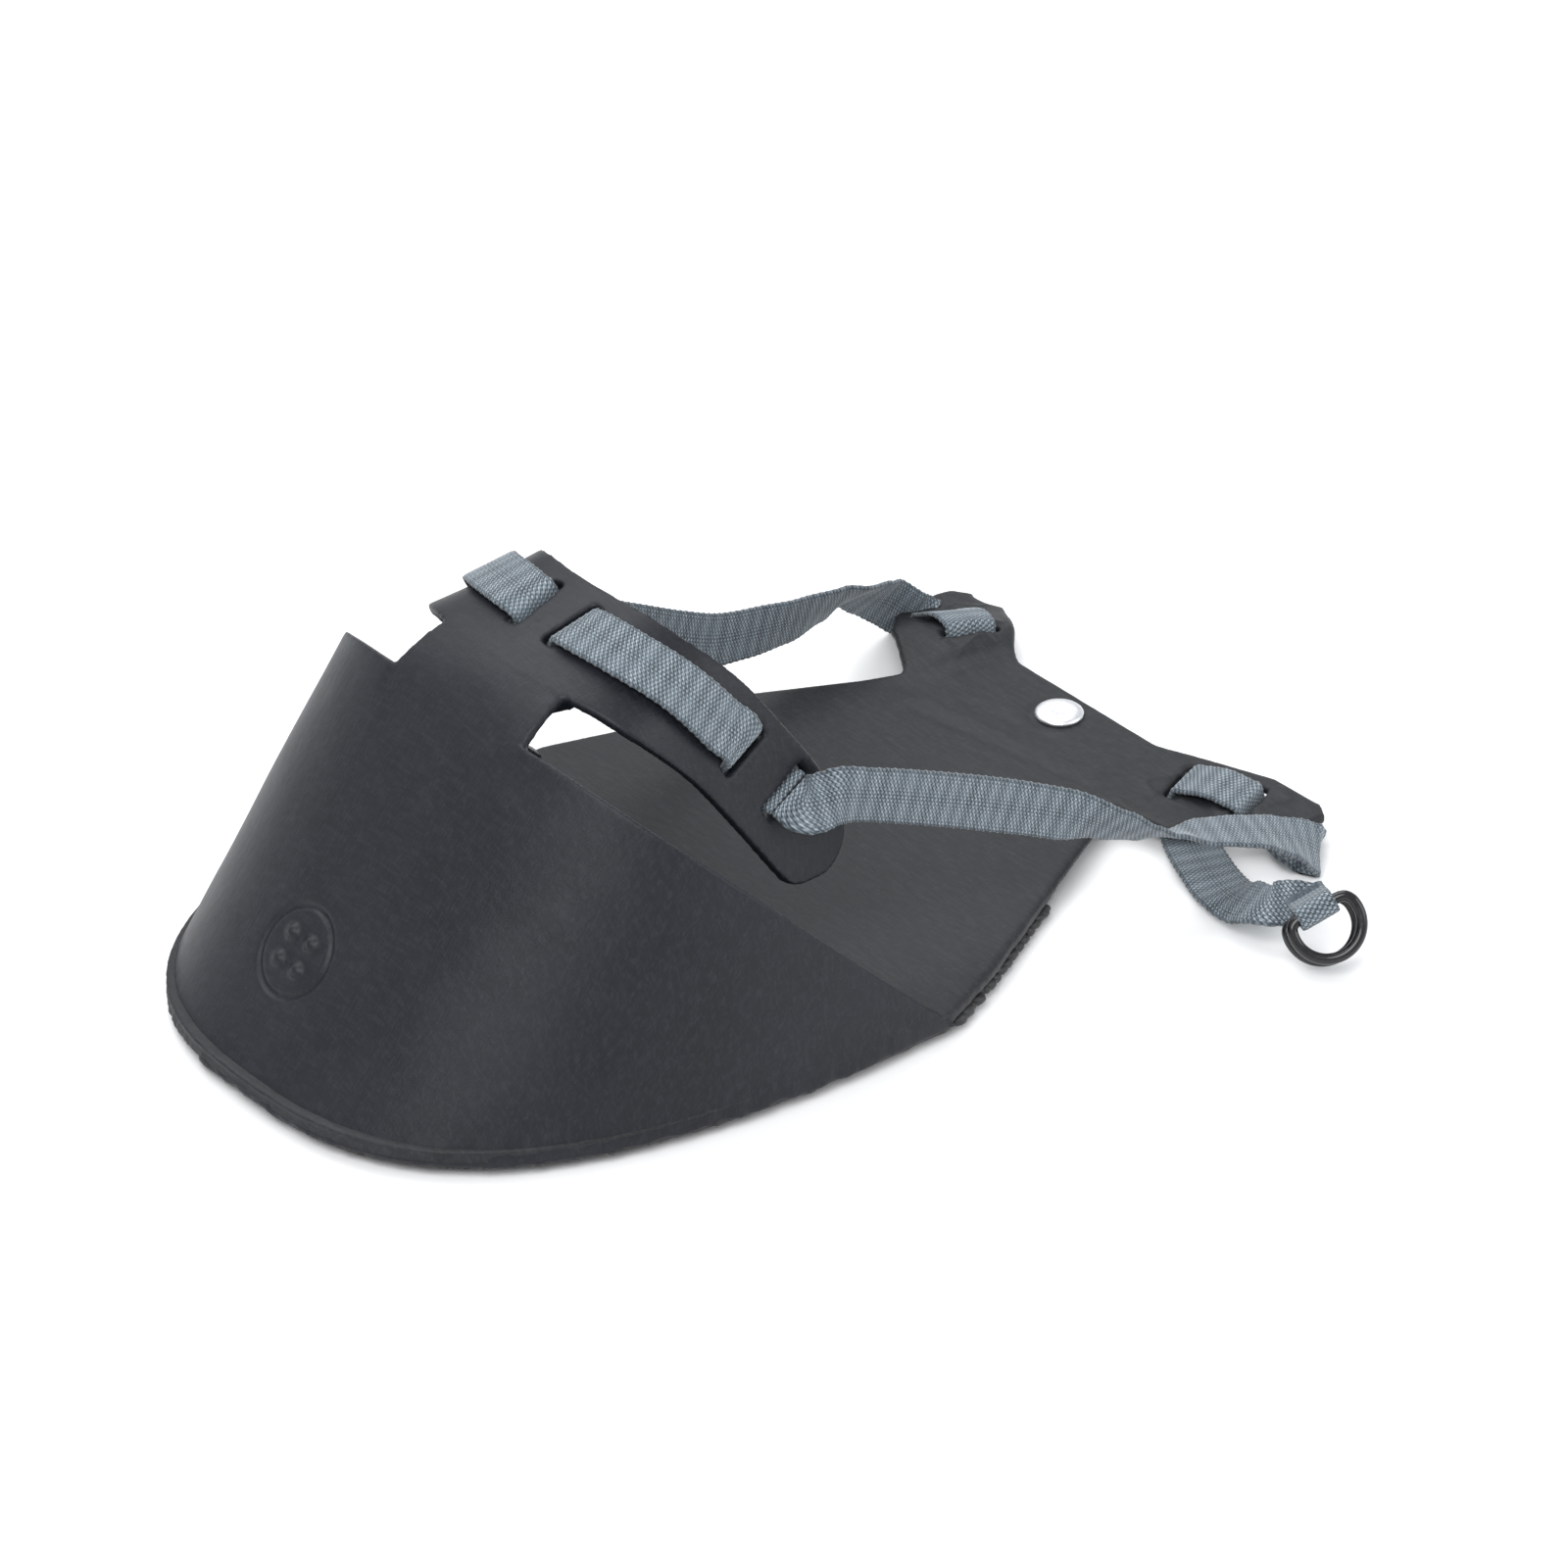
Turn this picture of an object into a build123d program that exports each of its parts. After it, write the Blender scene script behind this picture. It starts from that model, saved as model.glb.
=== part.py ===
from build123d import *
import os
import math

os.makedirs("parts", exist_ok=True)

# ---------------------------------------------------------------- dimensions
# All in millimetres. +X toward the heel, toe at -X, +Z up, ground at Z = 0.
X_TOE = -84.3          # foremost point of the sole
X_WIDE = 46.5          # where the toe curve ends and the sole starts to taper
HALF_W = 76.6          # half width of the sole at X_WIDE
N_PLAN = 2.67          # superellipse exponent of the toe curve
X_MID, W_MID = 64.2, 69.2      # knee of the tapering side edge
X_CREASE = 95.0        # fold line between sole and heel flap
X_STEM, W_STEM = 128.4, 36.1   # where the heel flap meets its ears
LUG_H = 4.0            # tread depth
SOLE_T = 3.0           # sole sheet
Z_SOLE = LUG_H + SOLE_T        # 7.0 inside face of the sole
FLAP_T = 2.5           # heel flap sheet
WALL_T = 2.6           # toe wall sheet
CUT = 50.9             # rear edge of the toe wall lies in the plane X + Z = CUT
TOP_X, TOP_W, TOP_Z, TOP_N = -27.0, 66.0, 76.0, 2.70   # toe wall at its top
WEB_W = 12.5           # webbing width
WEB_T = 1.2            # webbing thickness
SLOT_L = 14.2          # slot length in the rubber
SLOT_W = 3.2           # slot width in the rubber
RIVET_X = 144.3        # rivet centre on the heel flap
RIVET_R = 5.6          # rivet cap radius
WIRE_R = 1.25          # ring wire radius
MARK_R = 10.5          # round size boss on the toe
PIP_R = 1.5            # raised pips inside the size boss


# ------------------------------------------------------------------- helpers
def vadd(a, b): return (a[0] + b[0], a[1] + b[1], a[2] + b[2])
def vsub(a, b): return (a[0] - b[0], a[1] - b[1], a[2] - b[2])
def vmul(a, k): return (a[0] * k, a[1] * k, a[2] * k)
def vdot(a, b): return a[0] * b[0] + a[1] * b[1] + a[2] * b[2]
def vcross(a, b):
    return (a[1] * b[2] - a[2] * b[1], a[2] * b[0] - a[0] * b[2], a[0] * b[1] - a[1] * b[0])
def vlen(a): return math.sqrt(vdot(a, a))
def vunit(a):
    k = vlen(a)
    return (a[0] / k, a[1] / k, a[2] / k)
def mir(p): return (p[0], -p[1], p[2])


def spline_fn(pts):
    """Natural cubic spline through 3-D points over normalised chord length."""
    n = len(pts)
    t = [0.0]
    for i in range(1, n):
        t.append(t[-1] + vlen(vsub(pts[i], pts[i - 1])))
    t = [v / t[-1] for v in t]
    coef = []
    for k in range(3):
        y = [p[k] for p in pts]
        h = [t[i + 1] - t[i] for i in range(n - 1)]
        al = [0.0] * n
        for i in range(1, n - 1):
            al[i] = 3 * ((y[i + 1] - y[i]) / h[i] - (y[i] - y[i - 1]) / h[i - 1])
        l, mu, z = [1.0] * n, [0.0] * n, [0.0] * n
        for i in range(1, n - 1):
            l[i] = 2 * (t[i + 1] - t[i - 1]) - h[i - 1] * mu[i - 1]
            mu[i] = h[i] / l[i]
            z[i] = (al[i] - h[i - 1] * z[i - 1]) / l[i]
        b, c, d = [0.0] * n, [0.0] * n, [0.0] * n
        for j in range(n - 2, -1, -1):
            c[j] = z[j] - mu[j] * c[j + 1]
            b[j] = (y[j + 1] - y[j]) / h[j] - h[j] * (c[j + 1] + 2 * c[j]) / 3
            d[j] = (c[j + 1] - c[j]) / (3 * h[j])
        coef.append((y, b, c, d))

    def f(u):
        i = n - 2
        for j in range(n - 1):
            if u <= t[j + 1]:
                i = j
                break
        s = u - t[i]
        return tuple(q[0][i] + q[1][i] * s + q[2][i] * s * s + q[3][i] * s ** 3 for q in coef)
    return f


def normals(grid, sign):
    """Unit normals of a grid of points by central differences."""
    out = []
    n, m = len(grid), len(grid[0])
    for i in range(n):
        row = []
        for j in range(m):
            du = vsub(grid[min(i + 1, n - 1)][j], grid[max(i - 1, 0)][j])
            dv = vsub(grid[i][min(j + 1, m - 1)], grid[i][max(j - 1, 0)])
            row.append(vmul(vunit(vcross(du, dv)), sign))
        out.append(row)
    return out


def sheet(grid, nrm, a, b):
    """Closed solid between the grid moved a and b along its normals."""
    g1 = [[vadd(p, vmul(q, a)) for p, q in zip(r, s)] for r, s in zip(grid, nrm)]
    g2 = [[vadd(p, vmul(q, b)) for p, q in zip(r, s)] for r, s in zip(grid, nrm)]

    def face(g):
        return Face.make_surface_from_array_of_points(
            [[Vector(*p) for p in r] for r in g], tol=0.01, min_deg=1, max_deg=3)
    f1, f2 = face(g1), face(g2)
    rims = []
    e1, e2 = list(f1.edges()), list(f2.edges())
    for e in e1:
        m = e.position_at(0.5)
        mate = min(e2, key=lambda k: (k.position_at(0.5) - m).length)
        rims.append(Face.make_surface_from_curves(e, mate))
    shell = Shell([f1, f2] + rims)
    return Solid(shell).fix()


def box_at(c, u, v, lu, lv, lw):
    """Box centred at c, side lu along u, lv along v, lw along u x v."""
    pl = Plane(origin=c, x_dir=u, z_dir=vcross(u, v))
    return pl * Box(lu, lv, lw)


def ribbon(secs, w=WEB_W, t=WEB_T):
    """Webbing: straight-sided loft through (centre, width dir, normal) sections."""
    wires = []
    for c, wd, nd in secs:
        wd = vunit(wd)
        nd = vunit(vsub(nd, vmul(wd, vdot(nd, wd))))
        q = []
        for a, b in ((-1, -1), (1, -1), (1, 1), (-1, 1)):
            q.append(vadd(c, vadd(vmul(wd, a * w / 2), vmul(nd, b * t / 2))))
        wires.append(Wire.make_polygon([Vector(*p) for p in q], close=True))
    return Solid.make_loft(wires, ruled=True)


def save(shape, name, color):
    shape.label = name
    shape.color = Color(*color)
    export_step(shape, f"parts/{name}.step")


# ----------------------------------------------------------- sole plan curve
def toe_xy(th, xt=X_TOE, w=HALF_W, n=N_PLAN):
    c, s = abs(math.cos(th)), abs(math.sin(th))
    x = X_WIDE - (X_WIDE - xt) * c ** (2 / n)
    y = math.copysign(w * s ** (2 / n), th)
    return x, y


PULL = [(-35.0, 0.0), (-15.0, 1.4), (5.0, 5.0), (25.0, 9.6), (46.5, 12.2), (64.2, 10.4), (78.0, 6.0), (90.0, 2.0), (98.0, 0.0)]
def draw_in(p):
    """The strap draws the far side of the sole and wall inwards a little."""
    x, y = p[0], p[1]
    if y <= 25.0 or x <= PULL[0][0] or x >= PULL[-1][0]:
        return p
    a = 0.0
    for (x0, a0), (x1, a1) in zip(PULL[:-1], PULL[1:]):
        if x0 <= x <= x1:
            a = a0 + (a1 - a0) * (x - x0) / (x1 - x0)
            break
    k = min((y - 25.0) / 40.0, 1.0)
    return (x, y - a * k * k * (3 - 2 * k)) + tuple(p[2:])


def toe_row(z, count, inset=0.0):
    """Evenly spaced points round the toe at height z (near side first)."""
    k = (z - 3.3) / (TOP_Z - 3.3)
    xt = X_TOE + (TOP_X - X_TOE) * k + inset
    w = HALF_W + (TOP_W - HALF_W) * k - inset
    n = N_PLAN + (TOP_N - N_PLAN) * k
    m = 2400
    # denser near the ends where the curve parameter runs fast
    dense = []
    for i in range(m + 1):
        u = i / m
        th = -math.pi / 2 * math.cos(math.pi * u)
        dense.append(toe_xy(th, xt, w, n))
    acc = [0.0]
    for a, b in zip(dense[:-1], dense[1:]):
        acc.append(acc[-1] + math.hypot(b[0] - a[0], b[1] - a[1]))
    out, j = [], 0
    for i in range(count):
        d = acc[-1] * i / (count - 1)
        while j < m - 1 and acc[j + 1] < d:
            j += 1
        f = (d - acc[j]) / max(acc[j + 1] - acc[j], 1e-9)
        f = min(max(f, 0.0), 1.0)
        out.append((dense[j][0] * (1 - f) + dense[j + 1][0] * f,
                    dense[j][1] * (1 - f) + dense[j + 1][1] * f, z))
    half = count // 2
    for i in range(half):           # exact mirror symmetry
        a, b = out[i], out[count - 1 - i]
        x, y = (a[0] + b[0]) / 2, (abs(a[1]) + abs(b[1])) / 2
        out[i], out[count - 1 - i] = (x, -y, z), (x, y, z)
    if count % 2:
        out[half] = (out[half][0], 0.0, z)
    return [draw_in(p) for p in out]


# --------------------------------------------------------------- toe wall
COLS = 45
ROWS_Z = [Z_SOLE, 16.0, 27.0, 38.0, 49.0, 60.0, 71.0, 84.0]
wall_grid = [toe_row(z, COLS) for z in ROWS_Z]
wall_nrm = normals(wall_grid, 1.0)
mid = wall_nrm[3][COLS // 2]
if mid[0] > 0:
    wall_nrm = [[vmul(q, -1) for q in r] for r in wall_nrm]
# keep the bottom row flat on the sole
wall_nrm[0] = [vunit((q[0], q[1], 0.0)) for q in wall_nrm[0]]
wall = sheet(wall_grid, wall_nrm, 0.0, -WALL_T)
slope = 1 / math.sqrt(2)
top_cut = box_at((CUT / 2 + 100 * slope, 0, CUT / 2 + 100 * slope), (slope, 0, -slope), (0, 1, 0), 400, 400, 200)
wall = wall - top_cut
wall = wall - Pos(0, 0, 70.4 + 20) * Box(200, 43.6, 40)

# ------------------------------------------------- collar band and its neck
L_PTS = [(-15.0, 0.0, 84.0), (-14.3, -10.0, 83.6), (-12.6, -20.5, 82.6), (-10.0, -28.0, 81.0),
         (-6.5, -34.0, 77.5), (-1.4, -37.5, 72.0), (4.5, -40.0, 65.5), (15.6, -44.0, 49.6), (27.5, -46.8, 31.5)]
U_PTS = [(11.5, 0.0, 91.8), (12.3, -10.0, 91.2), (13.6, -17.0, 90.4), (16.0, -23.0, 88.0),
         (23.2, -30.3, 80.5), (33.0, -36.7, 65.8), (39.4, -39.4, 55.6), (43.9, -41.0, 46.0), (47.0, -43.1, 28.5)]
def both(p): return [mir(q) for q in p[:0:-1]] + p
f_low, f_up = spline_fn(both(L_PTS)), spline_fn(both(U_PTS))
def band_pt(s, t):
    """s: -1 far end, +1 near end; t: 0 lower edge, 1 upper edge."""
    a, b = f_low((s + 1) / 2), f_up((s + 1) / 2)
    return vadd(vmul(a, 1 - t), vmul(b, t))
def band_frame(s, t):
    p = band_pt(s, t)
    g = vunit(vsub(band_pt(s, 1), band_pt(s, 0)))
    r = vunit(vsub(band_pt(min(s + .004, 1), t), band_pt(max(s - .004, -1), t)))
    n = vunit(vcross(r, g))
    if n[2] < 0 and abs(s) < .5 or n[0] * 0 + n[1] * math.copysign(1, s) > 0 and abs(s) >= .5:
        n = vmul(n, -1)
    return p, g, r, n

BC = 41
band_grid = [[band_pt(-1 + 2 * i / (BC - 1), t) for i in range(BC)] for t in (0.0, .25, .5, .75, 1.0)]
band_nrm = normals(band_grid, 1.0)
if band_nrm[2][BC // 2][2] < 0:
    band_nrm = [[vmul(q, -1) for q in r] for r in band_nrm]
band = sheet(band_grid, band_nrm, 0.0, -2.5)

# neck: a tongue that runs up from the wall and turns into the band
def wall_at(y, z):
    row = toe_row(z, 181)
    best = None
    for a, b in zip(row[40:-41], row[41:-40]):
        if min(a[1], b[1]) <= y <= max(a[1], b[1]):
            f = (y - a[1]) / (b[1] - a[1])
            best = (a[0] * (1 - f) + b[0] * f, y, z)
    return best
def band_at(y, t):
    lo, hi = -0.6, 0.6
    for _ in range(50):
        m_ = (lo + hi) / 2
        if band_pt(m_, t)[1] > y:
            lo = m_
        else:
            hi = m_
    return band_pt((lo + hi) / 2, t)
NECK = [(23.0, 'w', 66.0), (22.8, 'w', 69.5), (22.4, 'w', 73.0), (20.2, 'b', 0.0), (19.6, 'b', 0.16), (18.6, 'b', 0.34), (18.0, 'b', 0.55)]
cols = [-1 + 2 * i / 16 for i in range(17)]
neck_rows = []
for c in cols:
    key = [wall_at(c * h, v) if k == 'w' else band_at(c * h, v) for h, k, v in NECK]
    f = spline_fn(key)
    neck_rows.append([f(i / 24) for i in range(25)])
neck_grid = [[neck_rows[j][i] for j in range(17)] for i in range(25)]
neck_nrm = normals(neck_grid, 1.0)
if neck_nrm[12][8][2] < 0:
    neck_nrm = [[vmul(q, -1) for q in r] for r in neck_nrm]
neck = sheet(neck_grid, neck_nrm, -0.12, -2.36)

upper = wall + neck + band

# rounded wing ends: each outer corner is rounded with a tangent arc
for s_end in (1.0, -1.0):
    for t_c, rad in ((0.0, 9.6), (1.0, 8.4)):
        p, g, r, n = band_frame(s_end, t_c)
        d2 = vmul(g, 1 if t_c == 0.0 else -1)                       # along the end edge
        d1 = vsub(band_pt(s_end * 0.93, t_c), p)                    # along the side edge, inwards
        n = vunit(vcross(d1, d2))
        d1 = vunit(d1)
        half = math.acos(max(-1, min(1, vdot(d1, d2)))) / 2
        tl = rad / math.tan(half)
        ctr = vadd(p, vmul(vunit(vadd(d1, d2)), rad / math.sin(half)))
        t1, t2 = vadd(p, vmul(d1, tl)), vadd(p, vmul(d2, tl))
        o1, o2 = vunit(vsub(t1, ctr)), vunit(vsub(t2, ctr))
        far_c = vadd(p, vmul(vadd(o1, o2), 5.0))
        poly = [ctr, vadd(t1, vmul(o1, 5.0)), far_c, vadd(t2, vmul(o2, 5.0))]
        lowp = [Vector(*vadd(q, vmul(n, -14.0))) for q in poly]
        kite = Solid.extrude(Face(Wire.make_polygon(lowp, close=True)), Vector(*vmul(n, 28.0)))
        disc = Plane(origin=ctr, x_dir=d1, z_dir=n) * Cylinder(rad, 40)
        upper = upper - (kite - disc)

# webbing slots in the collar band: one central pair, two slots on each wing
BAND_SLOTS = [((0.062, 0.37), (0.072, 0.80)), ((0.605, 0.294), (0.560, 0.803)), ((0.763, 0.310), (0.710, 0.852))]
def slot_frame(k, sy):
    """centre, width dir, direction away from the middle, outward normal"""
    (s1, t1), (s2, t2) = BAND_SLOTS[k]
    a, b = band_pt(sy * s1, t1), band_pt(sy * s2, t2)
    c = vmul(vadd(a, b), 0.5)
    d = vunit(vsub(b, a))
    _, g, r, n = band_frame(sy * (s1 + s2) / 2, (t1 + t2) / 2)
    n = vunit(vsub(n, vmul(d, vdot(n, d))))
    r = vcross(n, d)
    away = vsub(band_pt(sy * ((s1 + s2) / 2 + .02), .5), band_pt(sy * (s1 + s2) / 2, .5))
    if vdot(r, away) < 0:
        r = vmul(r, -1)
    return c, d, r, n
for sy in (1, -1):
    for k in range(3):
        c, d, r, n = slot_frame(k, sy)
        upper = upper - box_at(c, d, r, SLOT_L, SLOT_W + 0.3, 9)

# round size boss on the toe: shallow recess with four plain raised pips
def wall_frame(y, z):
    p = wall_at(y, z)
    du = vsub(wall_at(y + 1, z), wall_at(y - 1, z))
    dv = vsub(wall_at(y, z + 1.5), wall_at(y, z - 1.5))
    n = vunit(vcross(du, dv))
    if n[0] > 0:
        n = vmul(n, -1)
    return p, vunit(du), vunit(vcross(n, du)), n
mp, mu_, mv_, mn = wall_frame(6.0, 28.0)
ring_cut = Plane(origin=vadd(mp, vmul(mn, 0.3)), x_dir=mu_, z_dir=mn) * (Cylinder(MARK_R, 1.6) - Cylinder(MARK_R - 0.9, 3))
upper = upper - ring_cut
for k, (a, b) in enumerate(((-3.2, 3.2), (3.2, 3.2), (-3.2, -3.2), (3.2, -3.2))):
    base = vadd(mp, vadd(vmul(mu_, a), vmul(mv_, b)))
    q = wall_at(base[1], base[2])
    pip = Plane(origin=vadd(q, vmul(mn, -0.2)), x_dir=mu_, z_dir=mn) * Cylinder(PIP_R, 1.6)
    upper = upper + pip

sol = sorted(upper.solids(), key=lambda k: -k.volume)
upper = sol[0]
save(upper, "toe_wall", (0.05, 0.05, 0.06))

# ------------------------------------------------------------------ sole plate
def plan_wire(z, inset=0.0, x_end=X_CREASE - 0.5):
    row = [(p[0], p[1]) for p in toe_row(3.3, 61, inset)]
    w_end = W_MID + (W_STEM - W_MID) * (x_end - X_MID) / (X_STEM - X_MID)
    curve = Edge.make_spline([Vector(x, y, z) for x, y in row])
    far = [draw_in((x, W_MID - inset + (w_end - W_MID) * (x - X_MID) / (x_end - X_MID))) for x in (X_MID, 78.0, 90.0)]
    pts = [row[-1]] + far + [(x_end, w_end - inset),
           (x_end, -(w_end - inset)), (X_MID, -(W_MID - inset)), row[0]]
    lines = [Edge.make_line(Vector(*a, z), Vector(*b, z)) for a, b in zip(pts[:-1], pts[1:])]
    return Wire([curve] + lines)
sole = Solid.extrude(Face(plan_wire(LUG_H)), Vector(0, 0, SOLE_T))
save(sole, "sole_plate", (0.07, 0.07, 0.08))

# ----------------------------------------------------- outsole tread (lugs)
tread = Solid.extrude(Face(plan_wire(1.9, 0.6, X_CREASE - 1.5)), Vector(0, 0, LUG_H - 1.9))
inside = Solid.extrude(Face(plan_wire(-1.0, 6.5, X_CREASE - 4.0)), Vector(0, 0, 4.0))
lugs = []
PX, PY = 15.0, 15.0
for i in range(-7, 8):
    for j in range(-6, 7):
        cx, cy = i * PX + (PX / 2 if j % 2 else 0), j * PY
        lug = Pos(cx, cy, 1.1) * Box(10.5, 10.5, 2.2)
        lugs.append(lug)
lug_set = Compound(children=lugs)
trimmed = []
for lug in lugs:
    k = lug & inside
    for sd in (k.solids() if k is not None else []):
        if sd.volume > 30:
            trimmed.append(sd)
tread = tread.fuse(*trimmed) if trimmed else tread
tread = max(tread.solids(), key=lambda k: k.volume)
save(tread, "outsole_tread", (0.03, 0.03, 0.035))

# -------------------------------------------------------------- heel flap
XF = X_CREASE + 0.5
WF = W_MID + (W_STEM - W_MID) * (XF - X_MID) / (X_STEM - X_MID)
HALF = [(XF, WF), (X_STEM, W_STEM), (130.9, 50.4), (134.2, 53.8), (157.6, 69.2), (161.6, 69.4), (164.2, 65.0), (163.6, 50.5), (156.2, 31.2), (152.8, 23.0)]
outline = [(x, -y) for x, y in HALF] + [(x, y) for x, y in reversed(HALF)]
flap = extrude(Pos(0, 0, Z_SOLE - FLAP_T) * make_face(Polyline(*outline, close=True)), FLAP_T)
flap = flap.solids()[0] if hasattr(flap, "solids") else flap
# ear slots
EAR_G = vunit((0.933, -0.36, 0.0))      # along the slot, near side has -Y
EAR_R = vunit((-0.36, -0.933, 0.0))
EAR_IN, EAR_OUT = (146.8, 38.6), (152.6, 54.4)
for sy in (1, -1):
    for cx, cy in (EAR_IN, EAR_OUT):
        ang = math.degrees(math.atan2(0.36, 0.933)) * (1 if sy < 0 else -1)
        flap = flap - Pos(cx, sy * cy, Z_SOLE - FLAP_T / 2) * Rot(0, 0, ang) * Box(SLOT_L, SLOT_W, 8)
flap = flap - Pos(RIVET_X, 0, Z_SOLE) * Cylinder(2.1, 12)
save(flap.solids()[0], "heel_flap", (0.05, 0.05, 0.06))

# ------------------------------------------------------------------- rivet
cap = Pos(RIVET_X, 0, Z_SOLE) * Cylinder(RIVET_R, 0.7, align=(Align.CENTER, Align.CENTER, Align.MIN))
dome = Pos(RIVET_X, 0, Z_SOLE + 1.6 - 14.0) * Sphere(14.0)
dome = dome & (Pos(RIVET_X, 0, Z_SOLE + 0.7) * Cylinder(RIVET_R, 3, align=(Align.CENTER, Align.CENTER, Align.MIN)))
save((cap + dome).solids()[0], "rivet_cap", (0.75, 0.75, 0.77))
post = Pos(RIVET_X, 0, 0.9) * Cylinder(1.9, Z_SOLE - 0.9, align=(Align.CENTER, Align.CENTER, Align.MIN))
save(post, "rivet_post", (0.7, 0.7, 0.72))
back = Pos(RIVET_X, 0, 0.3) * (Cylinder(4.8, 0.6, align=(Align.CENTER, Align.CENTER, Align.MIN)))
save(back, "rivet_back_cap", (0.7, 0.7, 0.72))

# keeper: a flat folded rubber tab on the underside that holds the free strap
k_lo = Pos(RIVET_X - 3.0, 0, 0.9) * Box(24.0, 18.0, 0.7, align=(Align.CENTER, Align.CENTER, Align.MIN))
k_up = Pos(RIVET_X - 3.0, 0, 3.6) * Box(24.0, 18.0, 0.85, align=(Align.CENTER, Align.CENTER, Align.MIN))
k_end = Pos(RIVET_X - 3.0 - 12.0 + 0.5, 0, 0.9) * Box(1.0, 18.0, 3.55, align=(Align.CENTER, Align.CENTER, Align.MIN))
k_wr = Pos(RIVET_X + 9.0 - 0.5, 0, 0.9) * Box(1.0, 18.0, 3.55, align=(Align.CENTER, Align.CENTER, Align.MIN))
keeper = (k_lo + k_up + k_end + k_wr) - Pos(RIVET_X, 0, 3) * Cylinder(2.1, 12)
save(keeper.solids()[0], "strap_keeper", (0.06, 0.06, 0.07))

# --------------------------------------------------------- webbing on the collar
OUT = 0.35 + WEB_T / 2            # centre of the webbing above the outer face
INN = 2.5 + 0.35 + WEB_T / 2      # centre of the webbing below the inner face
def at3(c, r, n, a, b): return vadd(c, vadd(vmul(r, a), vmul(n, b)))
def run_on_band(s0, t0, s1, t1, off, count):
    """sections that follow the band surface between two places"""
    out = []
    for i in range(1, count):
        k = i / count
        s_, t_ = s0 + (s1 - s0) * k, t0 + (t1 - t0) * k
        p, g, r, n = band_frame(s_, t_)
        out.append((vadd(p, vmul(n, off)), g, n))
    return out
def collar_half(sy):
    sec = []
    p, g, r, n = band_frame(0.001 * sy, 0.585)
    sec.append((vadd(p, vmul(n, -INN - 0.6)), (1, 0, 0.2), n))
    k = [slot_frame(i, sy) for i in range(3)]
    def cross_out(c, d, r, n):
        return [(at3(c, r, n, -2.4, -INN), d, n), (at3(c, r, n, -0.7, -3.25), d, vsub(n, r)),
                (at3(c, r, n, 0.0, -1.3), d, vmul(r, -1)), (at3(c, r, n, 0.7, 0.75), d, vsub(n, r)), (at3(c, r, n, 2.6, OUT + .05), d, n)]
    def cross_in(c, d, r, n):
        return [(at3(c, r, n, -2.6, OUT + .05), d, n), (at3(c, r, n, -0.7, 0.75), d, vadd(n, r)),
                (at3(c, r, n, 0.0, -1.3), d, r), (at3(c, r, n, 0.7, -3.25), d, vadd(n, r)), (at3(c, r, n, 2.4, -INN), d, n)]
    sec += cross_out(*k[0])
    sec += run_on_band(sy * .125, .57, sy * .535, .55, OUT + .25, 9)
    sec += cross_in(*k[1])
    a, b = k[1], k[2]
    mid_c = vmul(vadd(at3(a[0], a[2], a[3], 2.4, -INN - .1), at3(b[0], b[2], b[3], -2.4, -INN - .1)), .5)
    sec.append((mid_c, vadd(a[1], b[1]), vadd(a[3], b[3])))
    last = cross_out(*k[2])
    sec += last[:4]
    return sec, k[2]
near, near_slot = collar_half(1)
far, far_slot = collar_half(-1)
fix = []
for c, d, n in far[::-1]:
    fix.append((c, d, n))
all_sec = fix + near[1:]
# one continuous width direction along the whole run
ordered = []
for c, d, n in all_sec:
    d = vunit(d)
    if d[0] < 0:
        d = vmul(d, -1)
    if ordered and vdot(vcross(d, n), vcross(ordered[-1][1], ordered[-1][2])) < 0:
        n = vmul(n, -1)
    ordered.append((c, d, n))
collar = ribbon(ordered)
save(collar, "strap_collar", (0.36, 0.41, 0.44))
end_sec = {1: near[-1], -1: far[-1]}

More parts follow.
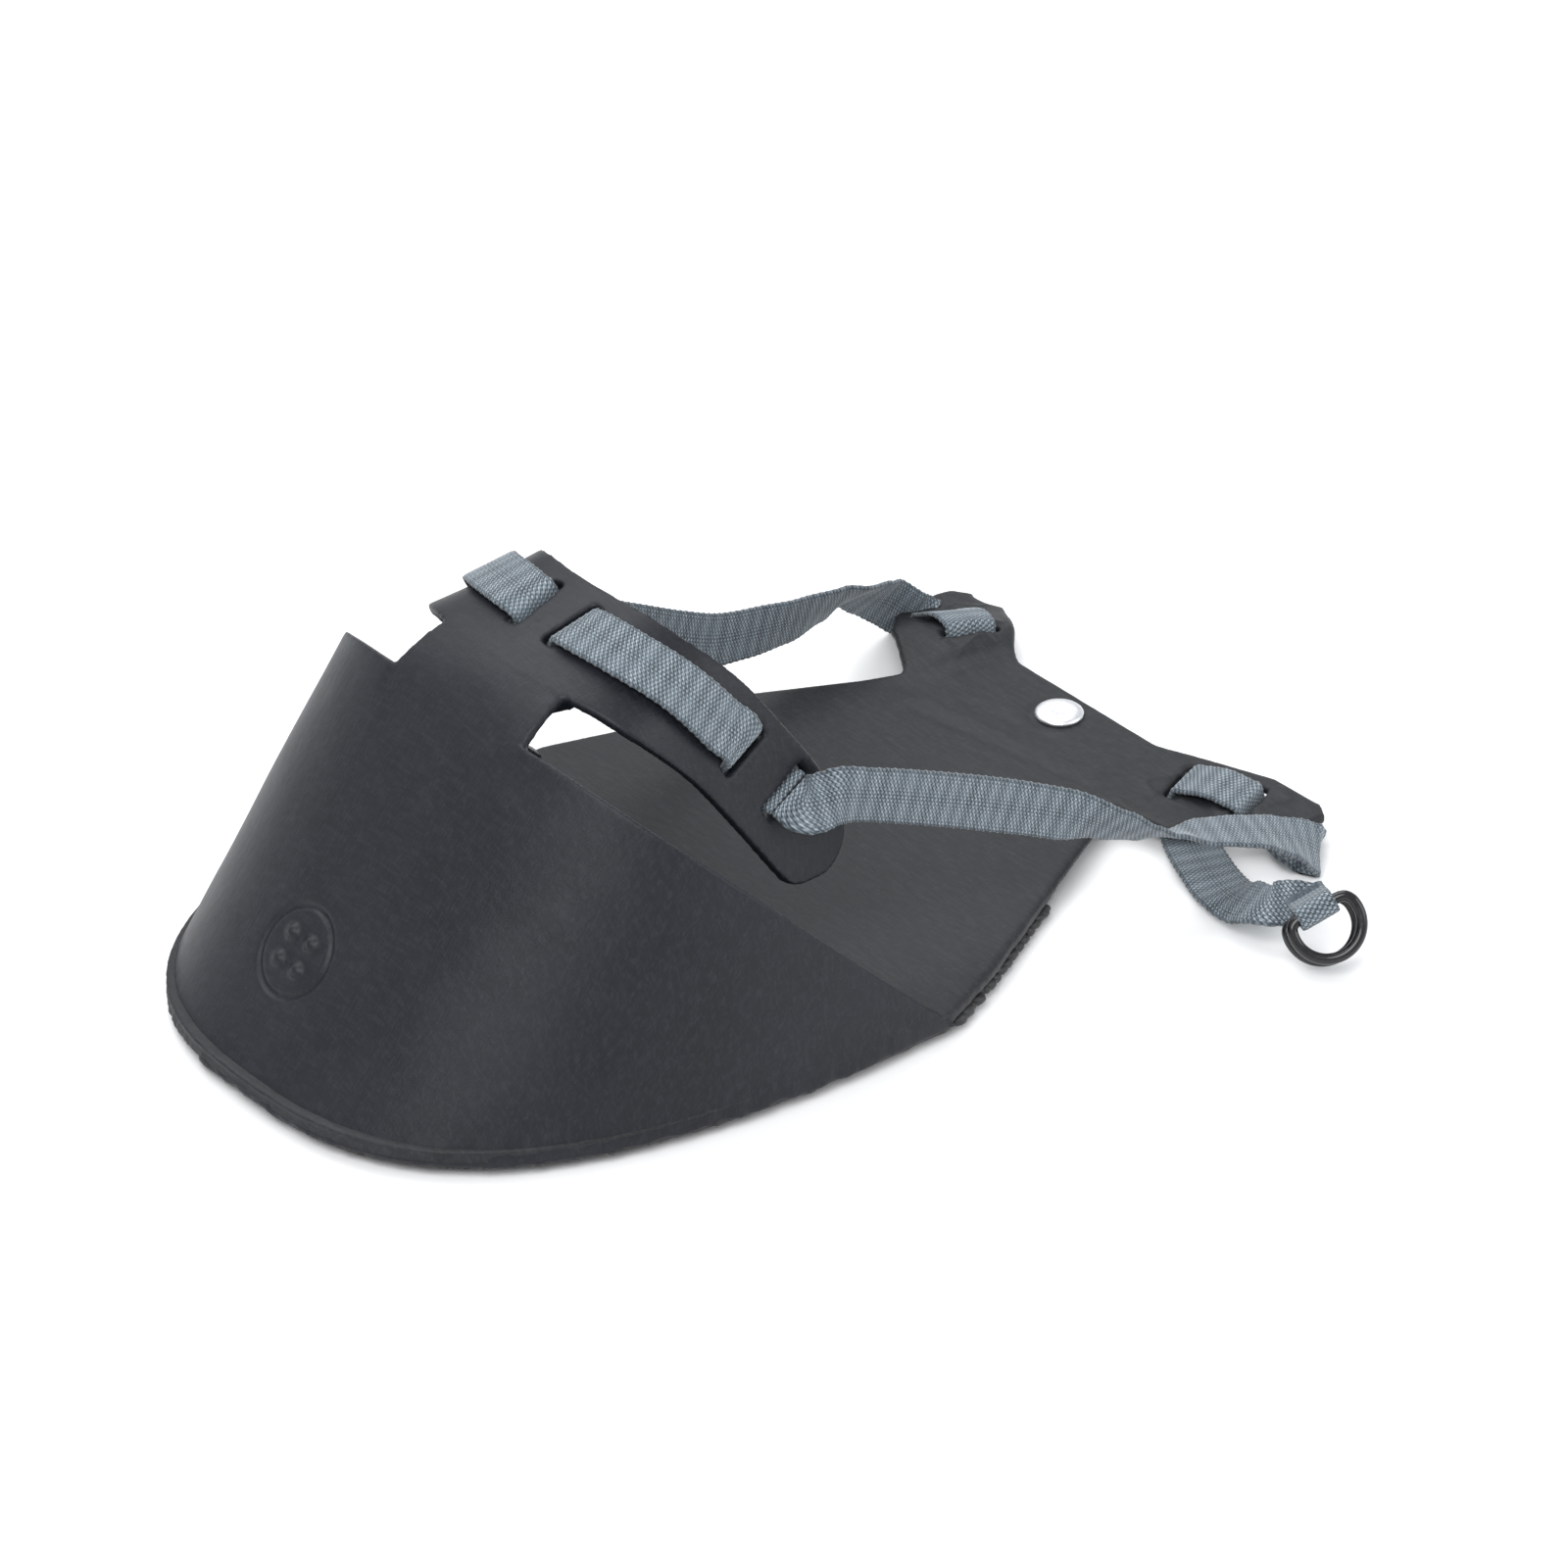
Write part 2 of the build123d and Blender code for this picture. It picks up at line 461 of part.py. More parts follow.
# ------------------------------------------------ free spans from wing to ear
Z_UNDER = Z_SOLE - FLAP_T - 0.35 - WEB_T / 2      # webbing under the flap
Z_OVER = Z_SOLE + 0.35 + WEB_T / 2                # webbing on top of the flap
def ear(sy):
    i = (EAR_IN[0], -sy * EAR_IN[1], 0.0)
    o = (EAR_OUT[0], -sy * EAR_OUT[1], 0.0)
    rho = vunit(vsub(o, i))
    gam = (abs(rho[1]), rho[0] * (1 if sy > 0 else -1), 0.0)
    gam = vunit((-rho[1] * (1 if sy > 0 else -1), rho[0] * (1 if sy > 0 else -1), 0.0))
    if gam[0] < 0:
        gam = vmul(gam, -1)
    return i, o, rho, gam
def setz(p, z): return (p[0], p[1], z)
def span(sy):
    c, d, r, n = slot_frame(2, sy)
    e = end_sec[sy]
    dd = e[1] if e[1][0] > 0 else vmul(e[1], -1)
    i, o, rho, gam = ear(sy)
    def m(x, y, z): return (x, y * sy, z)
    def w(x, y, z): return (x, y * sy, z)
    secs = [(vadd(c, vadd(vmul(r, 0.7), vmul(n, 1.5))), dd, vsub(n, r)),
            (vadd(c, vadd(vmul(r, 3.4), vmul(n, 3.2))), vadd(dd, (0.0, 0.0, 0.25)), vsub(n, vmul(r, .6)))]
    mids = [(m(39.5, -47.6, 50.5), w(0.45, 0.15, 0.85)), (m(46.0, -48.6, 48.8), w(0.28, -0.04, 0.95)),
            (m(58.2, -50.5, 46.2), w(0.42, -0.09, 0.90)), (m(73.2, -54.0, 39.2), w(0.44, -0.11, 0.89)),
            (m(85.0, -57.0, 33.3), w(0.44, -0.11, 0.89)), (m(96.5, -60.0, 27.4), w(0.40, -0.05, 0.86)),
            (m(105.8, -62.5, 22.8), w(0.32, 0.30, 0.78)), (m(113.5, -64.8, 18.9), w(0.25, 0.72, 0.45)),
            (m(122.0, -67.6, 15.6), w(0.26, 0.58, 0.66)), (m(132.0, -71.0, 12.2), w(0.40, 0.42, 0.76)),
            (m(142.0, -74.6, 8.6), w(0.60, 0.38, 0.55)), (m(149.5, -75.4, 5.6), w(0.85, 0.40, 0.28)),
            (m(153.2, -71.6, 3.9), w(0.95, 0.25, 0.08))]
    prev = None
    for p, wd in mids:
        secs.append((p, wd, None))
    secs.append((setz(vadd(o, vmul(rho, 9.0)), Z_UNDER - .25), gam, None))
    secs.append((setz(vadd(o, vmul(rho, 4.6)), Z_UNDER), gam, (0, 0, 1)))
    # fill in normals from the path direction
    out = []
    for k, (p, wd, nd) in enumerate(secs):
        a = secs[max(k - 1, 0)][0]
        b = secs[min(k + 1, len(secs) - 1)][0]
        tdir = vunit(vsub(b, a))
        wd = vunit(wd)
        if nd is None:
            nd = vcross(wd, tdir)
        if out and vdot(vcross(wd, nd), vcross(vunit(out[-1][1]), out[-1][2])) < 0:
            nd = vmul(nd, -1)
        out.append((p, wd, nd))
    return out
near_span = span(1)
save(ribbon(near_span), "strap_near_span", (0.36, 0.41, 0.44))
far_span = span(-1)
save(ribbon(far_span), "strap_far_span", (0.36, 0.41, 0.44))

# ------------------------------------------------------ webbing over each ear
def over_ear(sy):
    i, o, rho, gam = ear(sy)
    zu, zo = Z_UNDER, Z_OVER
    up, inn = (0, 0, 1), vmul(rho, -1)
    zm = Z_SOLE - FLAP_T / 2
    return [(setz(vadd(o, vmul(rho, 4.5)), zu), gam, up),
            (setz(vadd(o, vmul(rho, 2.3)), zu), gam, up),
            (setz(vadd(o, vmul(rho, 0.7)), zu + .25), gam, vadd(up, vmul(rho, 1.0))),
            (setz(o, zm), gam, rho),
            (setz(vadd(o, vmul(rho, -0.7)), zo - .25), gam, vadd(up, rho)),
            (setz(vadd(o, vmul(rho, -2.6)), zo), gam, up),
            (setz(vadd(o, vmul(rho, -8.0)), zo + .5), gam, up),
            (setz(vadd(i, vmul(rho, 2.6)), zo), gam, up),
            (setz(vadd(i, vmul(rho, 0.7)), zo - .25), gam, vsub(up, rho)),
            (setz(i, zm), gam, vmul(rho, -1)),
            (setz(vadd(i, vmul(rho, -0.7)), zu + .25), gam, vsub(up, rho)),
            (setz(vadd(i, vmul(rho, -2.6)), zu), gam, up)]
near_over = over_ear(1)
far_over = over_ear(-1)
save(ribbon(near_over), "strap_near_ear", (0.36, 0.41, 0.44))
i, o, rho, gam = ear(-1)
far_all = far_over + [((148.2, 33.0, Z_UNDER - .35), (0.97, 0.2, 0), (0, 0, 1)), ((146.5, 26.0, 2.95), (1, .15, 0), (0, 0, 1)),
                      ((143.2, 13.0, 2.6), (1, 0.1, 0), (0, 0, 1)), ((141.3, 9.6, 2.6), (1, 0, 0), (0, 0, 1)),
                      ((141.3, -9.6, 2.6), (1, 0, 0), (0, 0, 1)), ((141.0, -16.0, 2.4), (1, 0, 0), (0, 0, 1))]
free_end = ribbon(far_all)
free_end = free_end - Pos(RIVET_X, 0, 3) * Cylinder(2.45, 12)
save(max(free_end.solids(), key=lambda q: q.volume), "strap_far_ear", (0.36, 0.41, 0.44))

# ------------------------------------------------------------------- ring tail
RB1 = (126.3, -104.2, 14.4)                 # bar of the front ring
B1 = vunit((0.836, -0.349, 0.424))          # bar direction
F1 = vunit((0.091, -0.673, -0.734))         # from bar toward the round of the D
F1 = vunit(vsub(F1, vmul(B1, vdot(F1, B1))))
V1 = vunit(vcross(F1, B1))                  # toward the viewer side
if V1[1] > 0:
    V1 = vmul(V1, -1)
RB2 = vadd(RB1, vadd(vmul(V1, -3.0), vmul(B1, -1.0)))
RING_R, RING_D = 7.6, 3.8
def d_ring(p, b, f):
    c = vadd(p, vmul(f, RING_D))
    h = math.sqrt(RING_R ** 2 - RING_D ** 2)
    t0 = math.atan2(-RING_D, h)
    def on(t): return vadd(c, vadd(vmul(b, RING_R * math.cos(t)), vmul(f, RING_R * math.sin(t))))
    a, m_, z_ = on(t0), on(math.pi / 2), on(math.pi - t0)
    arc = Edge.make_three_point_arc(Vector(*a), Vector(*m_), Vector(*z_))
    pl = Plane(origin=a, z_dir=(arc % 0))
    body = sweep(pl * Circle(WIRE_R), path=arc)
    bar = Plane(origin=vadd(p, vmul(b, -h)), z_dir=b) * Cylinder(WIRE_R, 2 * h, align=(Align.CENTER, Align.CENTER, Align.MIN))
    out = body + bar
    for q in (a, z_):
        out = out + Pos(*q) * Sphere(WIRE_R * 1.03)
    return max(out.solids(), key=lambda k: k.volume)
save(d_ring(RB1, B1, F1), "d_ring_front", (0.02, 0.02, 0.02))
save(d_ring(RB2, B1, F1), "d_ring_rear", (0.02, 0.02, 0.02))

TAB_W = 9.0
def loop_pt(e1, e2, s_=-0.5): return vadd(RB1, vadd(vmul(F1, e1), vadd(vmul(V1, e2), vmul(B1, s_))))
i, o, rho, gam = ear(1)
tail = [((149.2, -35.2, Z_UNDER - 1.45), (0.81, -0.585, 0), WEB_W), ((143.0, -43.6, Z_UNDER - 1.45), (0.81, -0.585, 0), WEB_W),
        ((136.6, -52.6, 2.1), (0.83, -0.56, 0.0), WEB_W), ((131.4, -63.0, 2.6), (0.90, -0.43, 0.05), WEB_W),
        ((127.2, -74.0, 3.3), (0.94, -0.30, 0.16), WEB_W), ((124.9, -83.0, 6.0), (0.80, -0.20, 0.56), 12.0),
        ((124.6, -90.0, 9.0), (0.80, -0.28, 0.53), 10.6)]
sec = [(p, w_, None, ww) for p, w_, ww in tail]
lay_b = [(-1.6, -8.2), (-0.2, -6.6), (1.35, -4.75), (2.15, -3.2), (2.2, -1.5), (2.2, 0.1), (1.55, 1.6), (0.0, 2.2), (-1.55, 1.6), (-2.2, 0.0), (-2.35, -3.0), (-2.9, -5.6), (-4.2, -8.6)]
for e1, e2 in lay_b:
    sec.append((loop_pt(e1, e2), B1, None, TAB_W))
wires, last = [], None
for k, (p, wd, nd, ww) in enumerate(sec):
    a = sec[max(k - 1, 0)][0]
    b = sec[min(k + 1, len(sec) - 1)][0]
    tdir = vunit(vsub(b, a))
    wd = vunit(wd)
    nd = vunit(vcross(wd, tdir))
    q = []
    for sx, sz in ((-1, -1), (1, -1), (1, 1), (-1, 1)):
        q.append(Vector(*vadd(p, vadd(vmul(wd, sx * ww / 2), vmul(nd, sz * WEB_T / 2)))))
    wires.append(Wire.make_polygon(q, close=True))
tail_s = Solid.make_loft(wires, ruled=True)
save(tail_s, "strap_ring_tail", (0.36, 0.41, 0.44))

# bar tack: rows of stitching that close the loop
tk = loop_pt(-3.9, -6.6)
a_, b_ = loop_pt(-2.9, -5.6), loop_pt(-4.2, -8.6)
td = vunit(vsub(b_, a_))
tn = vunit(vcross(B1, td))
ctr = vmul(vadd(a_, b_), .5)
if vdot(tn, F1) > 0:
    tn = vmul(tn, -1)
tack = None
for k in range(3):
    q = vadd(vadd(ctr, vmul(td, -0.8 + k * 0.8)), vmul(tn, WEB_T / 2 + 0.12))
    bx = box_at(q, B1, td, 7.6, 0.35, 0.2)
    tack = bx if tack is None else tack + bx
plate = box_at(vadd(ctr, vmul(tn, WEB_T / 2 + 0.05)), B1, td, 7.2, 2.2, 0.08)
tack = tack + plate
save(max(tack.solids(), key=lambda q: q.volume), "bar_tack", (0.20, 0.22, 0.24))
print("solids done")
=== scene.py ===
import math

import bpy
import numpy as np
from mathutils import Matrix, Vector, noise


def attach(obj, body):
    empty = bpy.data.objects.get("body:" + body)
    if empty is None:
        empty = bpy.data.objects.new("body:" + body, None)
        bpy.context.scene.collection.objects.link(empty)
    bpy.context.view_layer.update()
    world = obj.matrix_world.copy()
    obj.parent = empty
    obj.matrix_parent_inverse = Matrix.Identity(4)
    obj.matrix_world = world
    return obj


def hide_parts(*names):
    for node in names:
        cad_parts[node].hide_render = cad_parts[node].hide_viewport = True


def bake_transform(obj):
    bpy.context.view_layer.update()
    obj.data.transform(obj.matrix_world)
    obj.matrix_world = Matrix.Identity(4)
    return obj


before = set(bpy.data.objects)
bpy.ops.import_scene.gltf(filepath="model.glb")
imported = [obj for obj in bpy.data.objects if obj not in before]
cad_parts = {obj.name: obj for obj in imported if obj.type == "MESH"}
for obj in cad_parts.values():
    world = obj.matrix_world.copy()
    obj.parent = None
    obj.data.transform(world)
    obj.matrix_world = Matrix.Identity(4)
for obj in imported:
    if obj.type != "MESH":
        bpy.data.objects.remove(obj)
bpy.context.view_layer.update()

MM = 0.001
rng = np.random.default_rng(7)

# ------------------------------------------------------------- dimensions, mm
X_TOE, X_WIDE, HALF_W, N_PLAN = -84.3, 46.5, 76.6, 2.67
X_MID, W_MID, X_CREASE = 64.2, 69.2, 95.0
X_STEM, W_STEM = 128.4, 36.1
Z_SOLE, FLAP_T, WALL_T, CUT = 7.0, 2.5, 2.6, 50.9
TOP_X, TOP_W, TOP_Z, TOP_N = -27.0, 66.0, 76.0, 2.70
WEB_W, WEB_T = 12.5, 1.2
RIVET_X, RIVET_R, WIRE_R = 144.3, 5.6, 1.25
MARK_R, PIP_R = 10.5, 1.5


# ------------------------------------------------------------------- helpers
def V(*a): return np.array(a, float)
def unit(a):
    a = np.asarray(a, float)
    return a / max(np.linalg.norm(a), 1e-12)


def natural(pts, k=None):
    """Natural cubic spline through points over normalised chord length."""
    p = np.asarray(pts, float)
    if k is None:
        k = np.r_[0, np.cumsum(np.linalg.norm(np.diff(p, axis=0), axis=1))]
        k = k / k[-1]
    n, h = len(p), np.diff(k)
    A, b = np.zeros((n, n)), np.zeros((n, p.shape[1]))
    A[0, 0] = A[-1, -1] = 1
    for i in range(1, n - 1):
        A[i, i - 1], A[i, i], A[i, i + 1] = h[i - 1], 2 * (h[i - 1] + h[i]), h[i]
        b[i] = 6 * ((p[i + 1] - p[i]) / h[i] - (p[i] - p[i - 1]) / h[i - 1])
    m = np.linalg.solve(A, b)

    def f(u):
        u = np.atleast_1d(np.asarray(u, float))
        i = np.clip(np.searchsorted(k, u, side="right") - 1, 0, n - 2)
        t, hh = u - k[i], h[i]
        t, hh = t[:, None], hh[:, None]
        return (p[i] + t * ((p[i + 1] - p[i]) / hh - hh * (2 * m[i] + m[i + 1]) / 6)
                + t ** 2 * m[i] / 2 + t ** 3 * (m[i + 1] - m[i]) / (6 * hh))
    return f


def new_obj(name, verts_mm, faces, mat, smooth=True):
    me = bpy.data.meshes.new(name)
    me.from_pydata([tuple(v) for v in np.asarray(verts_mm, float) * MM], [], [tuple(f) for f in faces])
    me.validate()
    ob = bpy.data.objects.new(name, me)
    bpy.context.scene.collection.objects.link(ob)
    if mat:
        me.materials.append(mat)
    if smooth:
        me.polygons.foreach_set("use_smooth", [True] * len(me.polygons))
    return ob


def recalc(ob):
    import bmesh
    bm = bmesh.new()
    bm.from_mesh(ob.data)
    bmesh.ops.recalc_face_normals(bm, faces=bm.faces)
    bm.to_mesh(ob.data)
    bm.free()


def remeshed(name, parts, voxel_mm, mat):
    """One closed skin over several overlapping closed meshes (vertex mm, faces)."""
    verts, faces, n = [], [], 0
    for v, f in parts:
        v = np.asarray(v, float)
        verts.append(v)
        faces += [tuple(i + n for i in q) for q in f]
        n += len(v)
    ob = new_obj(name + "_src", np.vstack(verts), faces, None)
    mod = ob.modifiers.new("r", "REMESH")
    mod.mode, mod.voxel_size, mod.use_smooth_shade = "VOXEL", voxel_mm * MM, True
    bpy.context.view_layer.update()
    dg = bpy.context.evaluated_depsgraph_get()
    me = bpy.data.meshes.new_from_object(ob.evaluated_get(dg))
    bpy.data.objects.remove(ob)
    out = bpy.data.objects.new(name, me)
    me.name = name
    me.materials.clear()
    me.materials.append(mat)
    bpy.context.scene.collection.objects.link(out)
    me.polygons.foreach_set("use_smooth", [True] * len(me.polygons))
    return out


def co_of(ob):
    a = np.zeros(len(ob.data.vertices) * 3, np.float32)
    ob.data.vertices.foreach_get("co", a)
    return a.reshape(-1, 3).astype(float) / MM


def set_co(ob, co):
    ob.data.vertices.foreach_set("co", (np.asarray(co) * MM).astype(np.float32).ravel())
    ob.data.update()


def normals_of(ob):
    a = np.zeros(len(ob.data.vertices) * 3, np.float32)
    ob.data.vertices.foreach_get("normal", a)
    return a.reshape(-1, 3).astype(float)


def laplace(ob, times, lam=0.5, mu=None):
    """Smooths the skin; with mu it also stops it shrinking."""
    e = np.zeros(len(ob.data.edges) * 2, np.int64)
    ob.data.edges.foreach_get("vertices", e)
    e = e.reshape(-1, 2)
    co = co_of(ob)
    deg = np.bincount(e.ravel(), minlength=len(co)).astype(float)[:, None]
    for k in range(times):
        for f in ((lam,) if mu is None else (lam, mu)):
            acc = np.zeros_like(co)
            for c in range(3):
                acc[:, c] = (np.bincount(e[:, 0], co[e[:, 1], c], len(co)) + np.bincount(e[:, 1], co[e[:, 0], c], len(co)))
            co = co + f * (acc / deg - co)
    set_co(ob, co)


def cad_mesh(node):
    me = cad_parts[node].data
    import bmesh
    bm = bmesh.new()
    bm.from_mesh(me)
    bmesh.ops.remove_doubles(bm, verts=bm.verts, dist=2e-6)
    v = np.array([x.co[:] for x in bm.verts], float) / MM
    f = [[x.index for x in q.verts] for q in bm.faces]
    bm.free()
    return v, f


def prism(outline, z0, z1):
    n = len(outline)
    v = [(x, y, z0) for x, y in outline] + [(x, y, z1) for x, y in outline]
    f = [tuple(range(n))[::-1], tuple(range(n, 2 * n))]
    f += [(i, (i + 1) % n, n + (i + 1) % n, n + i) for i in range(n)]
    return V(*v) if False else np.array(v, float), f


def vnoise(p, scale, seed=0):
    """Smooth noise for many points, about -1 to 1 (value noise on a lattice)."""
    q = np.asarray(p, float) / scale + 131.7
    i = np.floor(q).astype(np.int64)
    f = q - i
    f = f * f * (3 - 2 * f)

    def h(a, b, c):
        n = (a * 73856093) ^ (b * 19349663) ^ (c * 83492791) ^ (seed * 2654435761)
        n = (n ^ (n >> 13)) * 1274126177
        return ((n ^ (n >> 16)) & 0xFFFF) / 32767.5 - 1.0
    out = 0
    for dx in (0, 1):
        for dy in (0, 1):
            for dz in (0, 1):
                w = (f[:, 0] if dx else 1 - f[:, 0]) * (f[:, 1] if dy else 1 - f[:, 1]) * (f[:, 2] if dz else 1 - f[:, 2])
                out = out + w * h(i[:, 0] + dx, i[:, 1] + dy, i[:, 2] + dz)
    return out


# ----------------------------------------------------------------- materials
def mat_new(name):
    m = bpy.data.materials.new(name)
    m.use_nodes = True
    nt = m.node_tree
    nt.nodes.clear()
    out = nt.nodes.new("ShaderNodeOutputMaterial")
    b = nt.nodes.new("ShaderNodeBsdfPrincipled")
    nt.links.new(b.outputs[0], out.inputs[0])
    return m, nt, b


def node(nt, kind, **kw):
    n = nt.nodes.new(kind)
    for k, v in kw.items():
        if k in n.inputs.keys():
            n.inputs[k].default_value = v
        else:
            setattr(n, k, v)
    return n


def coords(nt, scale, rot=(0, 0, 0)):
    g = node(nt, "ShaderNodeTexCoord")
    mp = node(nt, "ShaderNodeMapping")
    mp.inputs["Scale"].default_value = scale
    mp.inputs["Rotation"].default_value = rot
    nt.links.new(g.outputs["Object"], mp.inputs["Vector"])
    return mp.outputs[0]


def ramp(nt, src, stops):
    r = node(nt, "ShaderNodeValToRGB")
    els = r.color_ramp.elements
    while len(els) > 1:
        els.remove(els[-1])
    els[0].position, els[0].color = stops[0][0], stops[0][1]
    for p, c in stops[1:]:
        e = els.new(p)
        e.color = c
    nt.links.new(src, r.inputs[0])
    return r.outputs[0]


def g4(v): return (v, v, v, 1)
def noise_tex(nt, vec, scale, detail=4, rough=0.55, dist=0.0):
    n = node(nt, "ShaderNodeTexNoise")
    n.inputs["Scale"].default_value, n.inputs["Detail"].default_value = scale, detail
    n.inputs["Roughness"].default_value, n.inputs["Distortion"].default_value = rough, dist
    nt.links.new(vec, n.inputs["Vector"])
    return n.outputs["Fac"]


def mix_col(nt, fac, a, b, kind="MIX"):
    m = node(nt, "ShaderNodeMix", data_type="RGBA", blend_type=kind)
    if isinstance(fac, (int, float)):
        m.inputs[0].default_value = fac
    else:
        nt.links.new(fac, m.inputs[0])
    for src, k in ((a, 6), (b, 7)):
        if isinstance(src, tuple):
            m.inputs[k].default_value = src
        else:
            nt.links.new(src, m.inputs[k])
    return m.outputs[2]


def math_n(nt, op, a, b=None):
    m = node(nt, "ShaderNodeMath", operation=op)
    for k, src in enumerate((a, b)):
        if src is None:
            continue
        if isinstance(src, (int, float)):
            m.inputs[k].default_value = src
        else:
            nt.links.new(src, m.inputs[k])
    return m.outputs[0]


def bump(nt, b, height, dist, strength=1.0, prev=None):
    n = node(nt, "ShaderNodeBump")
    n.inputs["Distance"].default_value, n.inputs["Strength"].default_value = dist, strength
    nt.links.new(height, n.inputs["Height"])
    if prev is not None:
        nt.links.new(prev, n.inputs["Normal"])
    return n.outputs[0]


def rubber(name, base, dark, light, rough, streak_rot=(0, 0, 0), streak=1.0, spec=0.5, dust=0.35):
    """Moulded rubber: brushed short fibres, cloudy bloom, fine pitting and a satin sheen."""
    m, nt, b = mat_new(name)
    cloud = noise_tex(nt, coords(nt, (1, 1, 1)), 28, 5, 0.6, 0.4)
    fibre = noise_tex(nt, coords(nt, (1.0, 7.5, 1.0), streak_rot), 330, 5, 0.62, 1.1)
    fibre2 = noise_tex(nt, coords(nt, (6.0, 1.0, 2.0), (0.5, 0.2, 0.9)), 210, 4, 0.6, 0.8)
    fine = noise_tex(nt, coords(nt, (1, 1, 1)), 1500, 2, 0.5)
    c = mix_col(nt, ramp(nt, cloud, [(0.33, g4(0)), (0.68, g4(1))]), dark, base)
    f = ramp(nt, math_n(nt, "MULTIPLY", fibre, fibre2), [(0.21, g4(0)), (0.42, g4(1))])
    c = mix_col(nt, math_n(nt, "MULTIPLY", f, dust), c, light)
    nt.links.new(c, b.inputs["Base Color"])
    r = ramp(nt, math_n(nt, "ADD", math_n(nt, "MULTIPLY", cloud, 0.5), math_n(nt, "MULTIPLY", fibre, 0.5)),
             [(0.3, g4(rough - 0.07)), (0.7, g4(rough + 0.09))])
    nt.links.new(r, b.inputs["Roughness"])
    b.inputs["Specular IOR Level"].default_value = spec
    h = math_n(nt, "ADD", math_n(nt, "MULTIPLY", fibre, 0.8 * streak), math_n(nt, "MULTIPLY", fine, 0.25))
    nrm = bump(nt, b, cloud, 0.0009, 0.35)
    nrm = bump(nt, b, h, 0.00016, 0.55, nrm)
    nt.links.new(nrm, b.inputs["Normal"])
    return m


M_WALL = rubber("moulded_rubber", (0.0110, 0.0122, 0.0165, 1), (0.0068, 0.0075, 0.0105, 1), (0.034, 0.037, 0.047, 1), 0.42, (0, 0, 0.6), spec=0.27, dust=0.34)
M_SOLE = rubber("sole_rubber", (0.0180, 0.0190, 0.0215, 1), (0.0115, 0.0123, 0.0140, 1), (0.050, 0.052, 0.057, 1), 0.50, (0, 0, 0.12), spec=0.27, dust=0.42)
M_TREAD = rubber("tread_rubber", (0.012, 0.012, 0.013, 1), (0.008, 0.008, 0.009, 1), (0.03, 0.03, 0.032, 1), 0.45, dust=0.2)


def webbing_material():
    """Woven webbing: painted shade in the low weave gaps and painted light on the rib crests, keyed to the relief;
    fine yarn twist, slight fuzz.
    """
    m, nt, b = mat_new("woven_webbing")
    at = node(nt, "ShaderNodeAttribute", attribute_name="weave")
    sep = node(nt, "ShaderNodeSeparateXYZ")
    nt.links.new(at.outputs["Vector"], sep.inputs[0])
    u, v, relief = sep.outputs[0], sep.outputs[1], sep.outputs[2]
    comb = node(nt, "ShaderNodeCombineXYZ")
    nt.links.new(u, comb.inputs[0])
    nt.links.new(v, comb.inputs[1])
    # yarn twist: fine slanted lines inside each rib
    tw = node(nt, "ShaderNodeTexWave", wave_type="BANDS", bands_direction="DIAGONAL", wave_profile="SIN")
    tw.inputs["Scale"].default_value, tw.inputs["Distortion"].default_value = 0.9, 2.2
    tw.inputs["Detail"].default_value, tw.inputs["Detail Scale"].default_value = 2, 1.5
    nt.links.new(comb.outputs[0], tw.inputs["Vector"])
    fz = noise_tex(nt, comb.outputs[0], 3.2, 4, 0.65)
    patch = noise_tex(nt, comb.outputs[0], 0.16, 3, 0.55)
    t = math_n(nt, "ADD", math_n(nt, "MULTIPLY", relief, 0.62), math_n(nt, "ADD", math_n(nt, "MULTIPLY", tw.outputs["Fac"], 0.16), math_n(nt, "MULTIPLY", fz, 0.30)))
    # the ramp on the relief paints shade into the gaps and light onto the crests
    col = ramp(nt, t, [(0.24, (0.008, 0.010, 0.013, 1)), (0.44, (0.046, 0.058, 0.070, 1)), (0.64, (0.165, 0.198, 0.226, 1)), (0.88, (0.46, 0.51, 0.545, 1))])
    col = mix_col(nt, ramp(nt, patch, [(0.35, g4(0.0)), (0.7, g4(0.30))]), col, (0.12, 0.155, 0.18, 1))
    nt.links.new(col, b.inputs["Base Color"])
    nt.links.new(ramp(nt, t, [(0.3, g4(0.86)), (0.8, g4(0.60))]), b.inputs["Roughness"])
    b.inputs["Specular IOR Level"].default_value = 0.35
    b.inputs["Sheen Weight"].default_value = 0.25
    b.inputs["Sheen Roughness"].default_value = 0.45
    h = math_n(nt, "ADD", math_n(nt, "MULTIPLY", tw.outputs["Fac"], 0.5), fz)
    nt.links.new(bump(nt, b, h, 0.00010, 0.7), b.inputs["Normal"])
    return m


M_WEB = webbing_material()


def metal_material():
    m, nt, b = mat_new("bright_rivet_metal")
    sc = noise_tex(nt, coords(nt, (1, 9, 1), (0, 0, 0.7)), 700, 4, 0.7, 0.6)
    cl = noise_tex(nt, coords(nt, (1, 1, 1)), 300, 4, 0.6)
    nt.links.new(mix_col(nt, ramp(nt, cl, [(0.35, g4(0)), (0.75, g4(1))]), (0.80, 0.81, 0.83, 1), (0.93, 0.93, 0.94, 1)), b.inputs["Base Color"])
    b.inputs["Metallic"].default_value = 1.0
    nt.links.new(ramp(nt, sc, [(0.3, g4(0.22)), (0.75, g4(0.42))]), b.inputs["Roughness"])
    nt.links.new(bump(nt, b, math_n(nt, "ADD", sc, math_n(nt, "MULTIPLY", cl, 1.4)), 0.00006, 0.6), b.inputs["Normal"])
    return m


M_METAL = metal_material()


